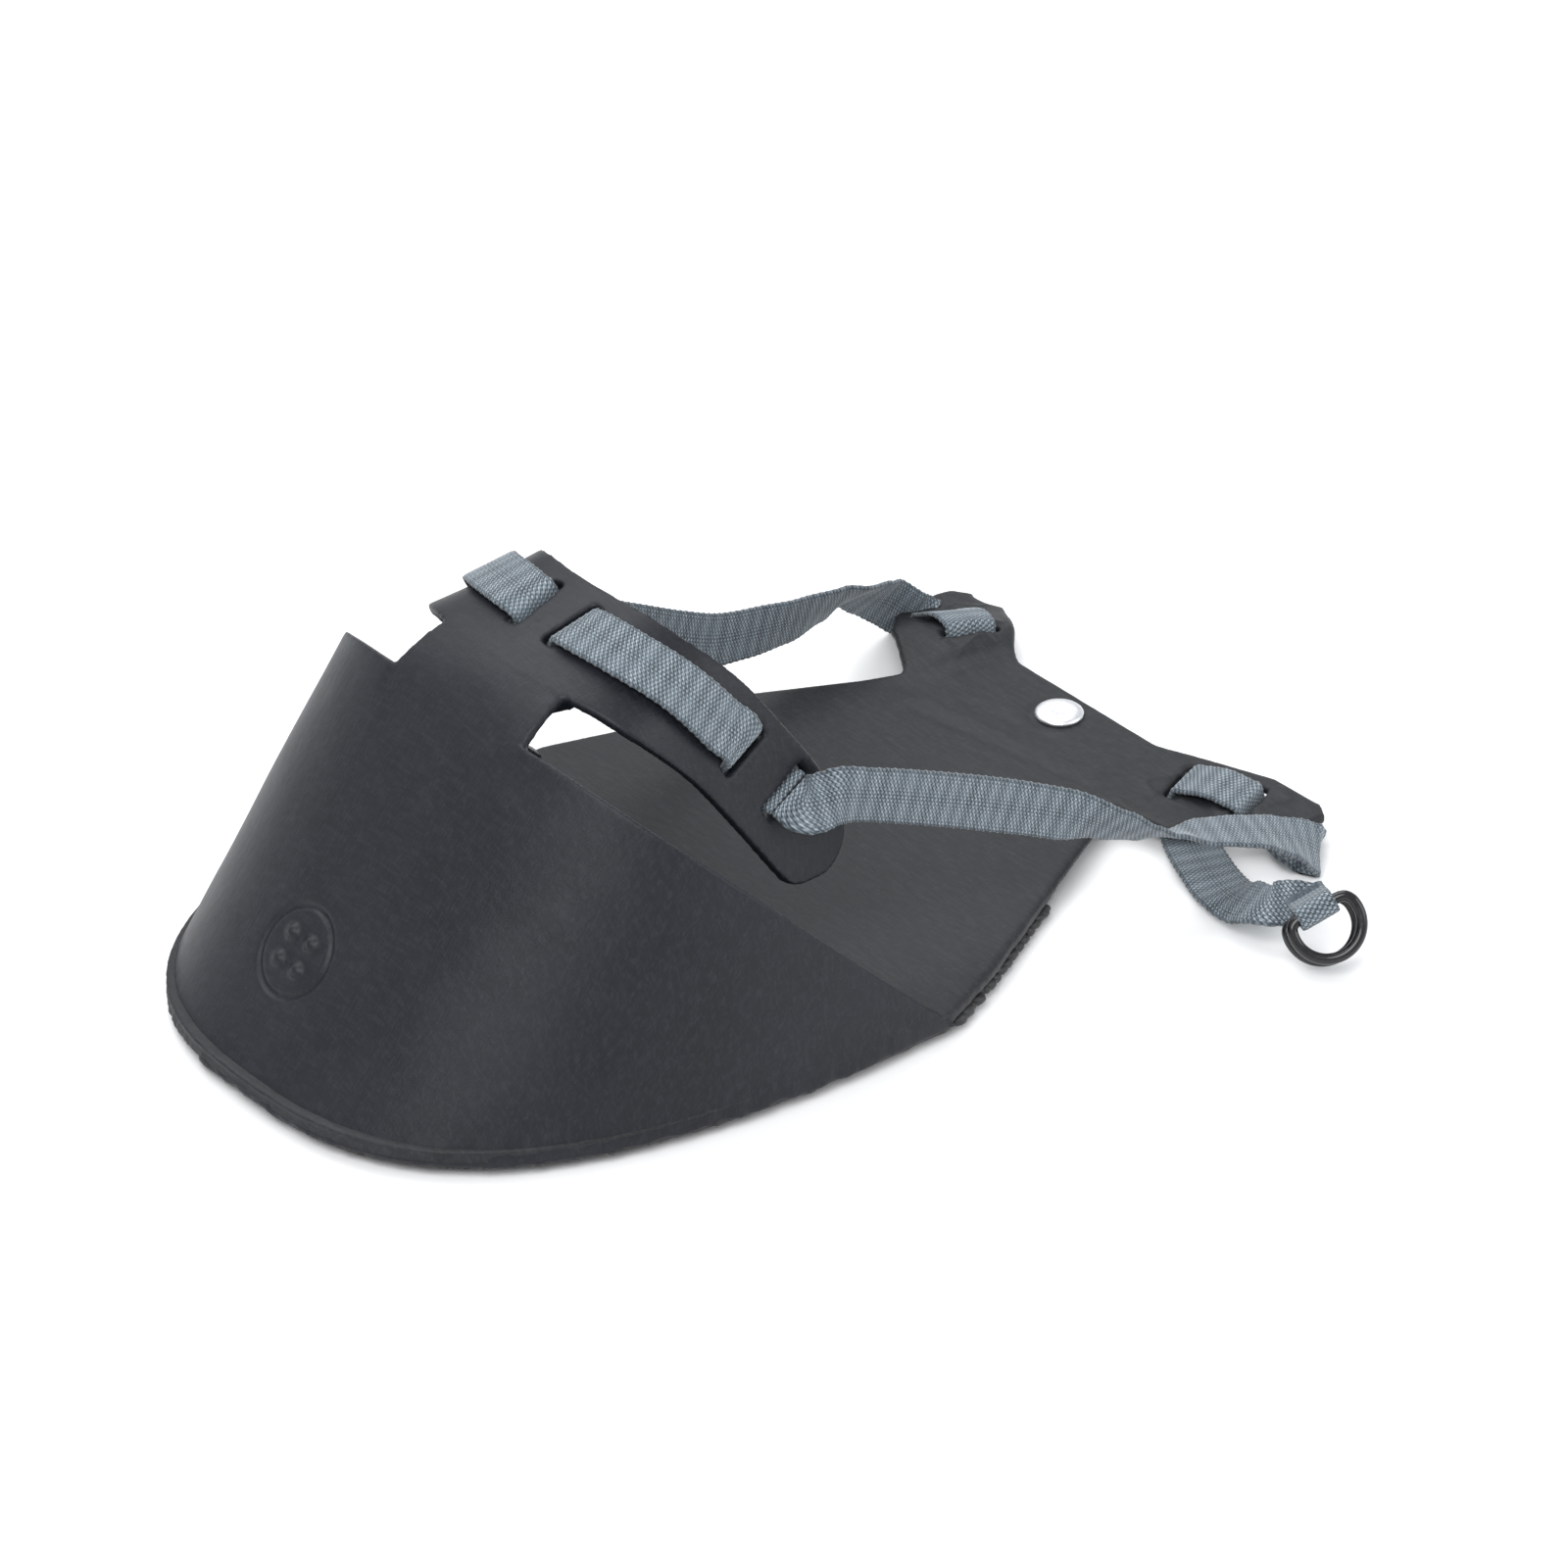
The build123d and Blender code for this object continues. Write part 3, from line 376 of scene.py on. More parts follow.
def wire_material():
    m, nt, b = mat_new("black_coated_wire")
    cl = noise_tex(nt, coords(nt, (1, 1, 1)), 420, 3, 0.6)
    nt.links.new(mix_col(nt, ramp(nt, cl, [(0.4, g4(0)), (0.8, g4(1))]), (0.006, 0.006, 0.007, 1), (0.016, 0.016, 0.018, 1)), b.inputs["Base Color"])
    nt.links.new(ramp(nt, cl, [(0.3, g4(0.14)), (0.8, g4(0.27))]), b.inputs["Roughness"])
    b.inputs["Specular IOR Level"].default_value = 0.3
    b.inputs["Coat Weight"].default_value = 0.3
    b.inputs["Coat Roughness"].default_value = 0.08
    nt.links.new(bump(nt, b, cl, 0.00005, 0.5), b.inputs["Normal"])
    return m


M_WIRE = wire_material()


def thread_material():
    m, nt, b = mat_new("stitch_thread")
    cl = noise_tex(nt, coords(nt, (1, 1, 1)), 2600, 3, 0.6)
    nt.links.new(mix_col(nt, cl, (0.05, 0.065, 0.08, 1), (0.16, 0.2, 0.23, 1)), b.inputs["Base Color"])
    b.inputs["Roughness"].default_value = 0.7
    nt.links.new(bump(nt, b, cl, 0.0001, 0.6), b.inputs["Normal"])
    return m


M_THREAD = thread_material()


# the strap draws the far side of the sole and wall inwards a little
PULL = [(-35.0, 0.0), (-15.0, 1.4), (5.0, 5.0), (25.0, 9.6), (46.5, 12.2), (64.2, 10.4), (78.0, 6.0), (90.0, 2.0), (98.0, 0.0)]
def draw_in(p):
    p = np.array(p, float)
    a = np.interp(p[..., 0], [q[0] for q in PULL], [q[1] for q in PULL])
    k = np.clip((p[..., 1] - 25.0) / 40.0, 0, 1)
    p[..., 1] -= a * k * k * (3 - 2 * k)
    return p


# ----------------------------------------------------------- wall and collar
def toe_curve(z, count, xt=None, grow=0.0):
    k = (z - 3.3) / (TOP_Z - 3.3)
    x0 = X_TOE + (TOP_X - X_TOE) * k - grow
    w = HALF_W + (TOP_W - HALF_W) * k + grow
    n = N_PLAN + (TOP_N - N_PLAN) * k
    th = -np.pi / 2 * np.cos(np.pi * np.linspace(0, 1, 3001))
    c, s = np.abs(np.cos(th)), np.abs(np.sin(th))
    x = X_WIDE - (X_WIDE - x0) * c ** (2 / n)
    y = np.sign(th) * w * s ** (2 / n)
    d = np.r_[0, np.cumsum(np.hypot(np.diff(x), np.diff(y)))]
    q = np.linspace(0, d[-1], count)
    return draw_in(np.c_[np.interp(q, d, x), np.interp(q, d, y), np.full(count, z)])


L_PTS = [(-15.0, 0.0, 84.0), (-14.3, -10.0, 83.6), (-12.6, -20.5, 82.6), (-10.0, -28.0, 81.0),
         (-6.5, -34.0, 77.5), (-1.4, -37.5, 72.0), (4.5, -40.0, 65.5), (15.6, -44.0, 49.6), (27.5, -46.8, 31.5)]
U_PTS = [(11.5, 0.0, 91.8), (12.3, -10.0, 91.2), (13.6, -17.0, 90.4), (16.0, -23.0, 88.0),
         (23.2, -30.3, 80.5), (33.0, -36.7, 65.8), (39.4, -39.4, 55.6), (43.9, -41.0, 46.0), (47.0, -43.1, 28.5)]
def both(p): return [(a, -b, c) for a, b, c in p[:0:-1]] + p
f_low, f_up = natural(both(L_PTS)), natural(both(U_PTS))
def band_pt(s, t): return (f_low((s + 1) / 2) * (1 - t) + f_up((s + 1) / 2) * t)[0]
def band_frame(s, t):
    p = band_pt(s, t)
    g = unit(band_pt(s, 1) - band_pt(s, 0))
    r = unit(band_pt(min(s + .004, 1), t) - band_pt(max(s - .004, -1), t))
    n = unit(np.cross(r, g))
    if n[2] < 0 and abs(s) < .5 or n[1] * math.copysign(1, s) > 0 and abs(s) >= .5:
        n = -n
    return p, g, r, n


# the skirt of the wall: its outer skin runs down over the rim of the sole
def skirt():
    cols = 181
    rows = []
    for z, g in ((3.0, -0.35), (4.0, 0.0), (5.6, 0.08), (7.5, 0.05), (10.0, -0.03)):
        c = toe_curve(max(z, 3.3), cols, grow=g)
        c[:, 2] = z
        # a short free tip past the widest point, at both rear corners
        tip = []
        for e in (3.2, 1.6):
            tip.append((X_WIDE + e, -(HALF_W + g + 0.05 * e), z))
        c = np.vstack([tip, c, draw_in([(x, -y, zz) for x, y, zz in tip[::-1]])])
        rows.append(c)
    out = np.array(rows)
    nrm = np.zeros_like(out)
    d = np.gradient(out, axis=1)
    nrm[..., 0], nrm[..., 1] = d[..., 1], -d[..., 0]
    nrm /= np.linalg.norm(nrm, axis=2, keepdims=True)
    if nrm[0, out.shape[1] // 2, 0] > 0:
        nrm = -nrm
    inner = out - nrm * 1.7
    # keep below the slanting rear edge of the wall
    for a in (out, inner):
        over = np.maximum(a[..., 0] + a[..., 2] - (CUT + 0.6), 0)
        lim = a[..., 0] > 20
        a[..., 2] = np.where(lim, np.maximum(a[..., 2] - over, 2.9), a[..., 2])
    n, m = out.shape[:2]
    v = np.vstack([out.reshape(-1, 3), inner.reshape(-1, 3)])
    f = []
    k = n * m
    for i in range(n - 1):
        for j in range(m - 1):
            a = i * m + j
            f.append((a, a + 1, a + m + 1, a + m))
            f.append((k + a, k + a + m, k + a + m + 1, k + a + 1))
    for j in range(m - 1):
        f.append((j, k + j, k + j + 1, j + 1))
        a = (n - 1) * m + j
        f.append((a, a + 1, k + a + 1, k + a))
    for i in range(n - 1):
        a = i * m
        f.append((a, a + m, k + a + m, k + a))
        a = i * m + m - 1
        f.append((a, k + a, k + a + m, a + m))
    return v, f


VOX = 0.45
upper = remeshed("upper", [cad_mesh("toe_wall"), skirt()], VOX, M_WALL)
laplace(upper, 7, 0.5)
co, nn = co_of(upper), normals_of(upper)


def wall_pt(y, z):
    c = toe_curve(z, 1401)
    c = c[(c[:, 0] < 10)]
    return V(np.interp(y, c[:, 1], c[:, 0]), y, z)


# round size mark moulded in the toe: a fine ring groove and four plain pips
mk = wall_pt(6.0, 28.0)
mu = unit(wall_pt(7.0, 28.0) - wall_pt(5.0, 28.0))
mv = unit(wall_pt(6.0, 29.5) - wall_pt(6.0, 26.5))
mn = unit(np.cross(mu, mv))
mn = mn if mn[0] < 0 else -mn
q = co - mk
a, b = q @ mu, q @ mv
on = (np.abs(q @ mn) < 6.0) & (nn @ mn > 0.5) & (np.hypot(a, b) < 16)
mark = -0.62 * np.exp(-((np.hypot(a, b) - (MARK_R - 0.45)) / 0.62) ** 2)
for pa, pb in ((-3.2, 3.2), (3.2, 3.2), (-3.2, -3.2), (3.2, -3.2)):
    mark = mark + 0.75 * np.exp(-(np.hypot(a - pa, b - pb) / PIP_R) ** 2)
mark = np.where(on, mark, 0)
amp = 0.16 * vnoise(co, 21, 3) + 0.06 * vnoise(co, 7.5, 4)
low = np.clip((9.0 - co[:, 2]) / 6.0, 0, 1) * (co[:, 2] < 9)
amp += low * (0.28 * vnoise(co * V(1, 1, 0.35), 3.4, 5) + 0.16 * vnoise(co * V(1, 1, 0.35), 1.5, 6))
co = co + nn * (amp + mark)[:, None]
co[:, 2] = np.maximum(co[:, 2] - low * 0.5 * (vnoise(co * V(1, 1, 0), 4.5, 8) + 0.2), 1.2)
set_co(upper, co)
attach(upper, "boot_shell")
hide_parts("toe_wall")

# ------------------------------------------------- sole and heel flap, one sheet
XF = X_CREASE + 0.5
def w_side(x): return W_MID + (W_STEM - W_MID) * (x - X_MID) / (X_STEM - X_MID)
strip = [(X_CREASE - 2.5, -w_side(X_CREASE - 2.5)), (X_CREASE + 2.5, -w_side(X_CREASE + 2.5)),
         (X_CREASE + 2.5, w_side(X_CREASE + 2.5)), tuple(draw_in((X_CREASE - 2.5, w_side(X_CREASE - 2.5))))]
sole = remeshed("sole_and_heel_flap", [cad_mesh("sole_plate"), cad_mesh("heel_flap"), prism(strip, 4.3, 7.0)], 0.72, M_SOLE)
laplace(sole, 3, 0.5)


def rbf(ctrl, disp, smooth=0.0):
    """Displacement field through control points, biharmonic in plan."""
    c, d = np.asarray(ctrl, float), np.asarray(disp, float)
    def phi(r): return np.where(r > 1e-9, r * r * np.log(np.maximum(r, 1e-9)), 0)
    n = len(c)
    A = np.zeros((n + 3, n + 3))
    A[:n, :n] = phi(np.linalg.norm(c[:, None] - c[None], axis=2)) + np.eye(n) * smooth
    A[:n, n], A[:n, n + 1:] = 1, c
    A[n, :n], A[n + 1:, :n] = 1, c.T
    b = np.zeros((n + 3, d.shape[1]))
    b[:n] = d
    w = np.linalg.solve(A, b)
    def f(q):
        q = np.asarray(q, float)
        k = phi(np.linalg.norm(q[:, None] - c[None], axis=2))
        return k @ w[:n] + w[n] + q @ w[n + 1:]
    return f


# the far ear is arched: it lifts beside the rivet and its tip turns down
EAR_CTRL = [((146.8, 38.6), (5.0, -1.4, 3.6)), ((152.6, 54.4), (-2.0, -1.2, -2.0)), ((160.0, 69.4), (3.2, -8.2, -2.4)),
            ((131.0, 50.4), (4.6, -2.6, 4.6)), ((134.2, 53.8), (4.2, -3.4, 3.2)), ((163.8, 50.5), (4.6, -5.0, -1.2)),
            ((156.2, 31.2), (2.2, -0.4, 1.4)), ((128.4, 34.0), (0, 0, 0)), ((152.8, 20.0), (0, 0, 0)), ((140, 24.0), (0, 0, 0)),
            ((120, 38.0), (0, 0, 0)), ((146, 14), (0, 0, 0)), ((133, 22), (0, 0, 0))]
ear_field = rbf([c for c, d in EAR_CTRL], [d for c, d in EAR_CTRL], 40.0)
def far_ear(p):
    """moves points of the far ear and of what lies on it"""
    p = np.asarray(p, float)
    k = np.clip((p[:, 1] - 22.0) / 14.0, 0, 1) * np.clip((p[:, 0] - 118.0) / 10.0, 0, 1)
    k = k * k * (3 - 2 * k)
    return p + ear_field(p[:, :2]) * k[:, None]


co = co_of(sole)
top = co[:, 2] > 5.6
def line_dist(p, a, b):
    a, b = V(*a), V(*b)
    d = b - a
    t = np.clip(((p - a) @ d) / (d @ d), 0, 1)
    return np.linalg.norm(p - (a + t[:, None] * d), axis=1), t
dz = 0.10 * vnoise(co * V(1, 1, 0), 26, 11) + 0.05 * vnoise(co * V(1, 1, 0), 9, 12)
# pressed lines across the flap ahead of the rivet, and shallow wrinkles
for a, b, depth, wid in (((120.5, 26.0), (129.5, -27.0), -0.50, 1.5), ((124.5, 27.0), (133.5, -26.0), 0.34, 1.6),
                         ((131.5, 20.0), (138.0, -17.0), -0.28, 1.7), ((118.0, 9.0), (126.0, -30.0), -0.22, 2.4)):
    d, t = line_dist(co[:, :2], a, b)
    dz += depth * np.exp(-(d / wid) ** 2) * np.sin(np.pi * np.clip(t, 0.02, 0.98)) ** 0.35 * (0.8 + 0.3 * vnoise(co * V(1, 1, 0), 8, 13))
for a, b, depth, wid in (((136.5, -19.5), (149.0, -28.5), 0.35, 1.3), ((134.0, -24.5), (146.0, -32.0), -0.30, 1.2),
                         ((131.0, 30.0), (150.0, 26.0), 0.32, 1.5), ((134.0, 33.5), (154.0, 29.0), -0.26, 1.3),
                         ((127.5, -33.0), (136.0, -40.0), 0.30, 1.4), ((141.0, -12.0), (147.5, -15.5), -0.20, 1.0)):
    d, t = line_dist(co[:, :2], a, b)
    dz += depth * np.exp(-(d / wid) ** 2) * np.sin(np.pi * np.clip(t, 0, 1)) ** 0.6
# round print of the rivet's pressing
d = np.hypot(co[:, 0] - RIVET_X, co[:, 1])
dz += -0.28 * np.exp(-((d - 6.6) / 0.9) ** 2)
# raised rims round the ear slots
for sy in (1, -1):
    for cx, cy in ((146.8, 38.6), (152.6, 54.4)):
        gx = unit(V(0.933, 0.36 * (1 if sy > 0 else -1)))
        q = co[:, :2] - V(cx, sy * cy)
        a = np.abs(q @ gx)
        b = np.abs(q @ V(-gx[1], gx[0]))
        dd = np.maximum(a - 7.1, b - 1.6)
        dz += 0.45 * np.exp(-((dd - 1.1) / 0.75) ** 2)
lo_mask = np.clip((co[:, 2] - 4.6) / 1.6, 0, 1)
co[:, 2] += dz * np.where(co[:, 0] > X_CREASE, 0.35 + 0.65 * lo_mask, lo_mask)
nn = normals_of(sole)
side = 1 - np.abs(nn[:, 2])
co[:, :2] += nn[:, :2] * (side * (0.22 * vnoise(co * V(1, 1, 0.4), 3.1, 14) + 0.1 * vnoise(co, 1.3, 15)))[:, None]
# the wall's skin covers the rim of the sole round the toe
co[:, :2] -= nn[:, :2] * (side * np.clip((X_WIDE + 1.0 - co[:, 0]) / 2.0, 0, 1) * 0.9)[:, None]
co = far_ear(co)
set_co(sole, co)
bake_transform(sole)
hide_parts("sole_plate", "heel_flap")

# ------------------------------------------------------------------- tread
tread = remeshed("tread", [cad_mesh("outsole_tread")], 0.9, M_TREAD)
laplace(tread, 2, 0.5)
co, nn = co_of(tread), normals_of(tread)
rim = (co[:, 2] > 1.2) & (np.abs(nn[:, 2]) < 0.7)
co[:, :2] += nn[:, :2] * np.where(rim, 0.55 * vnoise(co * V(1, 1, 0.3), 2.6, 21) + 0.35 * vnoise(co * V(1, 1, 0.3), 6.0, 22), 0)[:, None]
set_co(tread, co)
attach(tread, "boot_shell")
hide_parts("outsole_tread")


# rough knobs of flash that show below the sole between the wall and the flap
def knobs():
    vs, fs, n = [], [], 0
    for sy in (-1, 1):
        x = X_WIDE + 4.0
        while x < X_CREASE - 1.0:
            y = HALF_W + (W_MID - HALF_W) * (x - X_WIDE) / (X_MID - X_WIDE) if x < X_MID else w_side(x)
            r = 1.15 + 0.75 * rng.random() * (1.25 - 0.8 * (x - X_WIDE) / (X_CREASE - X_WIDE))
            c = draw_in(V(x, sy * (y - 1.4 + 0.5 * rng.random()), 2.35 + 0.4 * rng.random()))
            sc = V(1.2 + 0.7 * rng.random(), 0.95, 0.85)
            seg, rings = 14, 9
            base = n
            for i in range(1, rings):
                ph = math.pi * i / rings
                for j in range(seg):
                    th = 2 * math.pi * j / seg
                    vs.append(c + r * sc * V(math.sin(ph) * math.cos(th), math.sin(ph) * math.sin(th), math.cos(ph)))
            vs += [c + V(0, 0, r * sc[2]), c - V(0, 0, r * sc[2])]
            for i in range(rings - 2):
                for j in range(seg):
                    a, b_ = base + i * seg + j, base + i * seg + (j + 1) % seg
                    fs.append((a, a + seg, b_ + seg, b_))
            tp, bt = base + (rings - 1) * seg, base + (rings - 1) * seg + 1
            for j in range(seg):
                fs.append((tp, base + j, base + (j + 1) % seg))
                a = base + (rings - 2) * seg
                fs.append((bt, a + (j + 1) % seg, a + j))
            n = bt + 1
            x += 1.6 + 2.4 * rng.random()
    v = np.array(vs)
    v += 0.18 * np.c_[vnoise(v, 1.1, 31), vnoise(v, 1.1, 32), vnoise(v, 1.1, 33)]
    v[:, 2] = np.clip(v[:, 2], 0.35, 4.1)
    return v, fs


kv, kf = knobs()
flash = new_obj("tread_flash", kv, kf, M_TREAD)
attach(flash, "boot_shell")


# ---------------------------------------------------------------- webbing
def web(name, secs, width=WEB_W, body=None, warp=None, cap=(True, True), phase=0.0, ds=0.25, nodes=(), widths=None):
    """Woven strap along sections (centre, width direction): cross ribs, brick weave and looped edges in the mesh."""
    P = np.array([c for c, w in secs], float)
    W = np.array([unit(w) for c, w in secs], float)
    keep = np.r_[True, np.linalg.norm(np.diff(P, axis=0), axis=1) > 0.05]
    P, W = P[keep], W[keep]
    Wd = (np.array(widths, float)[keep] if widths is not None else np.full(len(P), float(width)))
    k = np.r_[0, np.cumsum(np.linalg.norm(np.diff(P, axis=0), axis=1) ** 0.8)]
    k = k / k[-1]
    tang = np.gradient(P, k, axis=0)
    # cubic hermite with limited tangents keeps the folds crisp
    m = np.zeros_like(P)
    for i in range(len(P)):
        if 0 < i < len(P) - 1:
            a, b_ = (P[i] - P[i - 1]) / (k[i] - k[i - 1]), (P[i + 1] - P[i]) / (k[i + 1] - k[i])
            ha, hb = k[i] - k[i - 1], k[i + 1] - k[i]
            m[i] = (a * hb + b_ * ha) / (ha + hb)
        elif i == 0:
            m[i] = (P[1] - P[0]) / (k[1] - k[0])
        else:
            m[i] = (P[-1] - P[-2]) / (k[-1] - k[-2])
    def at(u):
        i = np.clip(np.searchsorted(k, u, side="right") - 1, 0, len(P) - 2)
        h = (k[i + 1] - k[i])[:, None]
        t = ((u - k[i]) / (k[i + 1] - k[i]))[:, None]
        p = (2 * t ** 3 - 3 * t ** 2 + 1) * P[i] + (t ** 3 - 2 * t ** 2 + t) * h * m[i] + (-2 * t ** 3 + 3 * t ** 2) * P[i + 1] + (t ** 3 - t ** 2) * h * m[i + 1]
        ts = t * t * (3 - 2 * t)
        w = W[i] * (1 - ts) + W[i + 1] * ts
        ww = Wd[i] * (1 - ts[:, 0]) + Wd[i + 1] * ts[:, 0]
        return p, w, ww
    u = np.linspace(0, 1, 6000)
    p, _, _ = at(u)
    L = np.r_[0, np.cumsum(np.linalg.norm(np.diff(p, axis=0), axis=1))]
    n = max(int(L[-1] / ds), 8)
    s = np.linspace(0, L[-1], n + 1)
    uu = np.interp(s, L, u)
    C, w, ww = at(uu)
    T = np.gradient(C, s, axis=0)
    T /= np.linalg.norm(T, axis=1, keepdims=True)
    # ease the tangent over a webbing thickness so that folds stay round
    ker = np.ones(5) / 5
    for c in range(3):
        T[:, c] = np.convolve(np.pad(T[:, c], 2, mode="edge"), ker, "valid")
    T /= np.linalg.norm(T, axis=1, keepdims=True)
    w = w - np.sum(w * T, axis=1, keepdims=True) * T
    w /= np.linalg.norm(w, axis=1, keepdims=True)
    N = np.cross(w, T)
    m_cols = 30
    v = np.linspace(-1, 1, m_cols + 1)
    pitch, col = 0.98, 0.89
    S, Vv = np.meshgrid(s + phase, v, indexing="ij")
    half = ww[:, None] / 2 * np.ones_like(Vv)
    y = Vv * half
    yc = y / col + 0.5
    par = np.floor(yc) % 2
    a = np.abs(np.sin(np.pi * (S / pitch + 0.5 * par)))
    bcol = np.abs(np.cos(np.pi * (yc - np.floor(yc) - 0.5)))
    rel = a * (0.45 + 0.55 * bcol)
    slow = 0.5 + 0.5 * np.sin(2 * np.pi * S / 3.9 + 1.3 * np.sin(S / 7.0))
    relief = 0.86 * rel + 0.14 * slow
    edge = np.clip((np.abs(Vv) - 0.86) / 0.14, 0, 1)
    loop = np.abs(np.sin(np.pi * S / (2 * pitch)))
    thick = (WEB_T / 2) * (1 - 0.42 * edge ** 1.5) + 0.26 * (relief - 0.6) * (1 - 0.35 * edge)
    reach = 1 + edge * (0.016 * loop - 0.020 * (1 - loop))
    def side(sign):
        off = (sign * thick)[..., None] * N[:, None, :]
        across = (y * reach)[..., None] * w[:, None, :]
        return C[:, None, :] + across + off
    A, B_ = side(1), side(-1)
    rows, cols = A.shape[:2]
    v1, v2 = A.reshape(-1, 3), B_.reshape(-1, 3)
    verts = np.vstack([v1, v2])
    if warp is not None:
        verts = warp(verts)
    verts[:, 2] = np.maximum(verts[:, 2], 0.3)
    K = rows * cols
    idx = np.arange(K).reshape(rows, cols)
    q1 = np.stack([idx[:-1, :-1], idx[1:, :-1], idx[1:, 1:], idx[:-1, 1:]], -1).reshape(-1, 4)
    q2 = q1[:, ::-1] + K
    e1 = np.stack([idx[:-1, 0], idx[:-1, 0] + K, idx[1:, 0] + K, idx[1:, 0]], -1)
    e2 = np.stack([idx[:-1, -1], idx[1:, -1], idx[1:, -1] + K, idx[:-1, -1] + K], -1)
    c1 = np.stack([idx[0, :-1], idx[0, 1:], idx[0, 1:] + K, idx[0, :-1] + K], -1)
    c2 = np.stack([idx[-1, :-1], idx[-1, :-1] + K, idx[-1, 1:] + K, idx[-1, 1:]], -1)
    faces = np.vstack([q1, q2, e1, e2, c1, c2])
    ob = new_obj(name, verts, faces.tolist(), M_WEB)
    at_ = ob.data.attributes.new("weave", "FLOAT_VECTOR", "POINT")
    val = np.zeros((2 * K, 3), np.float32)
    val[:K, 0] = val[K:, 0] = S.reshape(-1)
    val[:K, 1] = y.reshape(-1)
    val[K:, 1] = y.reshape(-1) + 31.0
    # the relief stored here, lowered at the rolled edges, is what the material turns into painted shade in the gaps
    # and along the edges
    val[:K, 2] = val[K:, 2] = np.clip(relief * (1 - 0.25 * edge), 0, 1).reshape(-1)
    at_.data.foreach_set("vector", val.ravel())
    recalc(ob)
    if body:
        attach(ob, body)
    if nodes:
        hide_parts(*nodes)
    return ob, L[-1]


BAND_SLOTS = [((0.062, 0.37), (0.072, 0.80)), ((0.605, 0.294), (0.560, 0.803)), ((0.763, 0.310), (0.710, 0.852))]
def slot_frame(k, sy):
    (s1, t1), (s2, t2) = BAND_SLOTS[k]
    a, b = band_pt(sy * s1, t1), band_pt(sy * s2, t2)
    c, d = (a + b) / 2, unit(b - a)
    n = band_frame(sy * (s1 + s2) / 2, (t1 + t2) / 2)[3]
    n = unit(n - d * (n @ d))
    r = np.cross(n, d)
    away = band_pt(sy * ((s1 + s2) / 2 + .02), .5) - band_pt(sy * (s1 + s2) / 2, .5)
    return c, d, (r if r @ away > 0 else -r), n


OUT, INN = 0.75 + WEB_T / 2, 2.5 + 0.45 + WEB_T / 2
def collar_half(sy):
    sec = []
    p, g, r, n = band_frame(0.001 * sy, 0.585)
    sec.append((p - n * (INN + .5), V(1, 0, 0.2)))
    k = [slot_frame(i, sy) for i in range(3)]
    def out_(c, d, r, n):
        return [(c - r * 2.6 - n * INN, d), (c - r * 0.75 - n * 2.9, d), (c - n * 1.3, d), (c + r * 0.75 + n * 0.55, d), (c + r * 2.8 + n * (OUT + .1), d)]
    def in_(c, d, r, n):
        return [(c - r * 2.8 + n * (OUT + .1), d), (c - r * 0.75 + n * 0.55, d), (c - n * 1.3, d), (c + r * 0.75 - n * 2.9, d), (c + r * 2.6 - n * INN, d)]
    sec += out_(*k[0])
    for i in range(1, 9):
        f = i / 9
        s_, t_ = sy * (.125 + (.535 - .125) * f), .57 + (.55 - .57) * f
        p, g, r, n = band_frame(s_, t_)
        sec.append((p + n * (OUT + .25 + .5 * math.sin(math.pi * f)), g))
    sec += in_(*k[1])
    a, b = k[1], k[2]
    sec.append(((a[0] + a[2] * 2.6 - a[3] * (INN + .1) + b[0] - b[2] * 2.6 - b[3] * (INN + .1)) / 2, a[1] + b[1]))
    sec += out_(*k[2])[:4]
    return sec
near_c, far_c = collar_half(1), collar_half(-1)
allsec = []
for c, d in far_c[::-1] + near_c[1:]:
    allsec.append((c, d if d[0] > 0 else -d))
collar, len_collar = web("strap_over_collar", allsec, body="boot_shell", nodes=("strap_collar",))

Z_UNDER = Z_SOLE - FLAP_T - 0.45 - WEB_T / 2
Z_OVER = Z_SOLE + 0.45 + WEB_T / 2
def ear(sy):
    i, o = V(146.8, -sy * 38.6, 0), V(152.6, -sy * 54.4, 0)
    rho = unit(o - i)
    g = V(-rho[1], rho[0], 0)
    return i, o, rho, (g if g[0] > 0 else -g)
def zz(p, z): return V(p[0], p[1], z)


def span(sy, mids, warp=None, flip=1):
    c, d, r, n = slot_frame(2, sy)
    e = d if d[0] > 0 else -d
    i, o, rho, gam = ear(sy)
    secs = [(c + r * 0.7 + n * 1.0, e), (c + r * 3.4 + n * 3.2, e + V(0, 0, .25))]
    secs += [(V(x, y * sy, z), V(a, b * sy, cc)) for (x, y, z), (a, b, cc) in mids]
    tail = [(zz(o + rho * 9.0, Z_UNDER - .25), gam * flip), (zz(o + rho * 4.6, Z_UNDER), gam * flip)][0 if sy > 0 else 1:]
    if warp is not None:
        tail = [(warp(np.array([p]))[0], w) for p, w in tail]
    return secs + tail


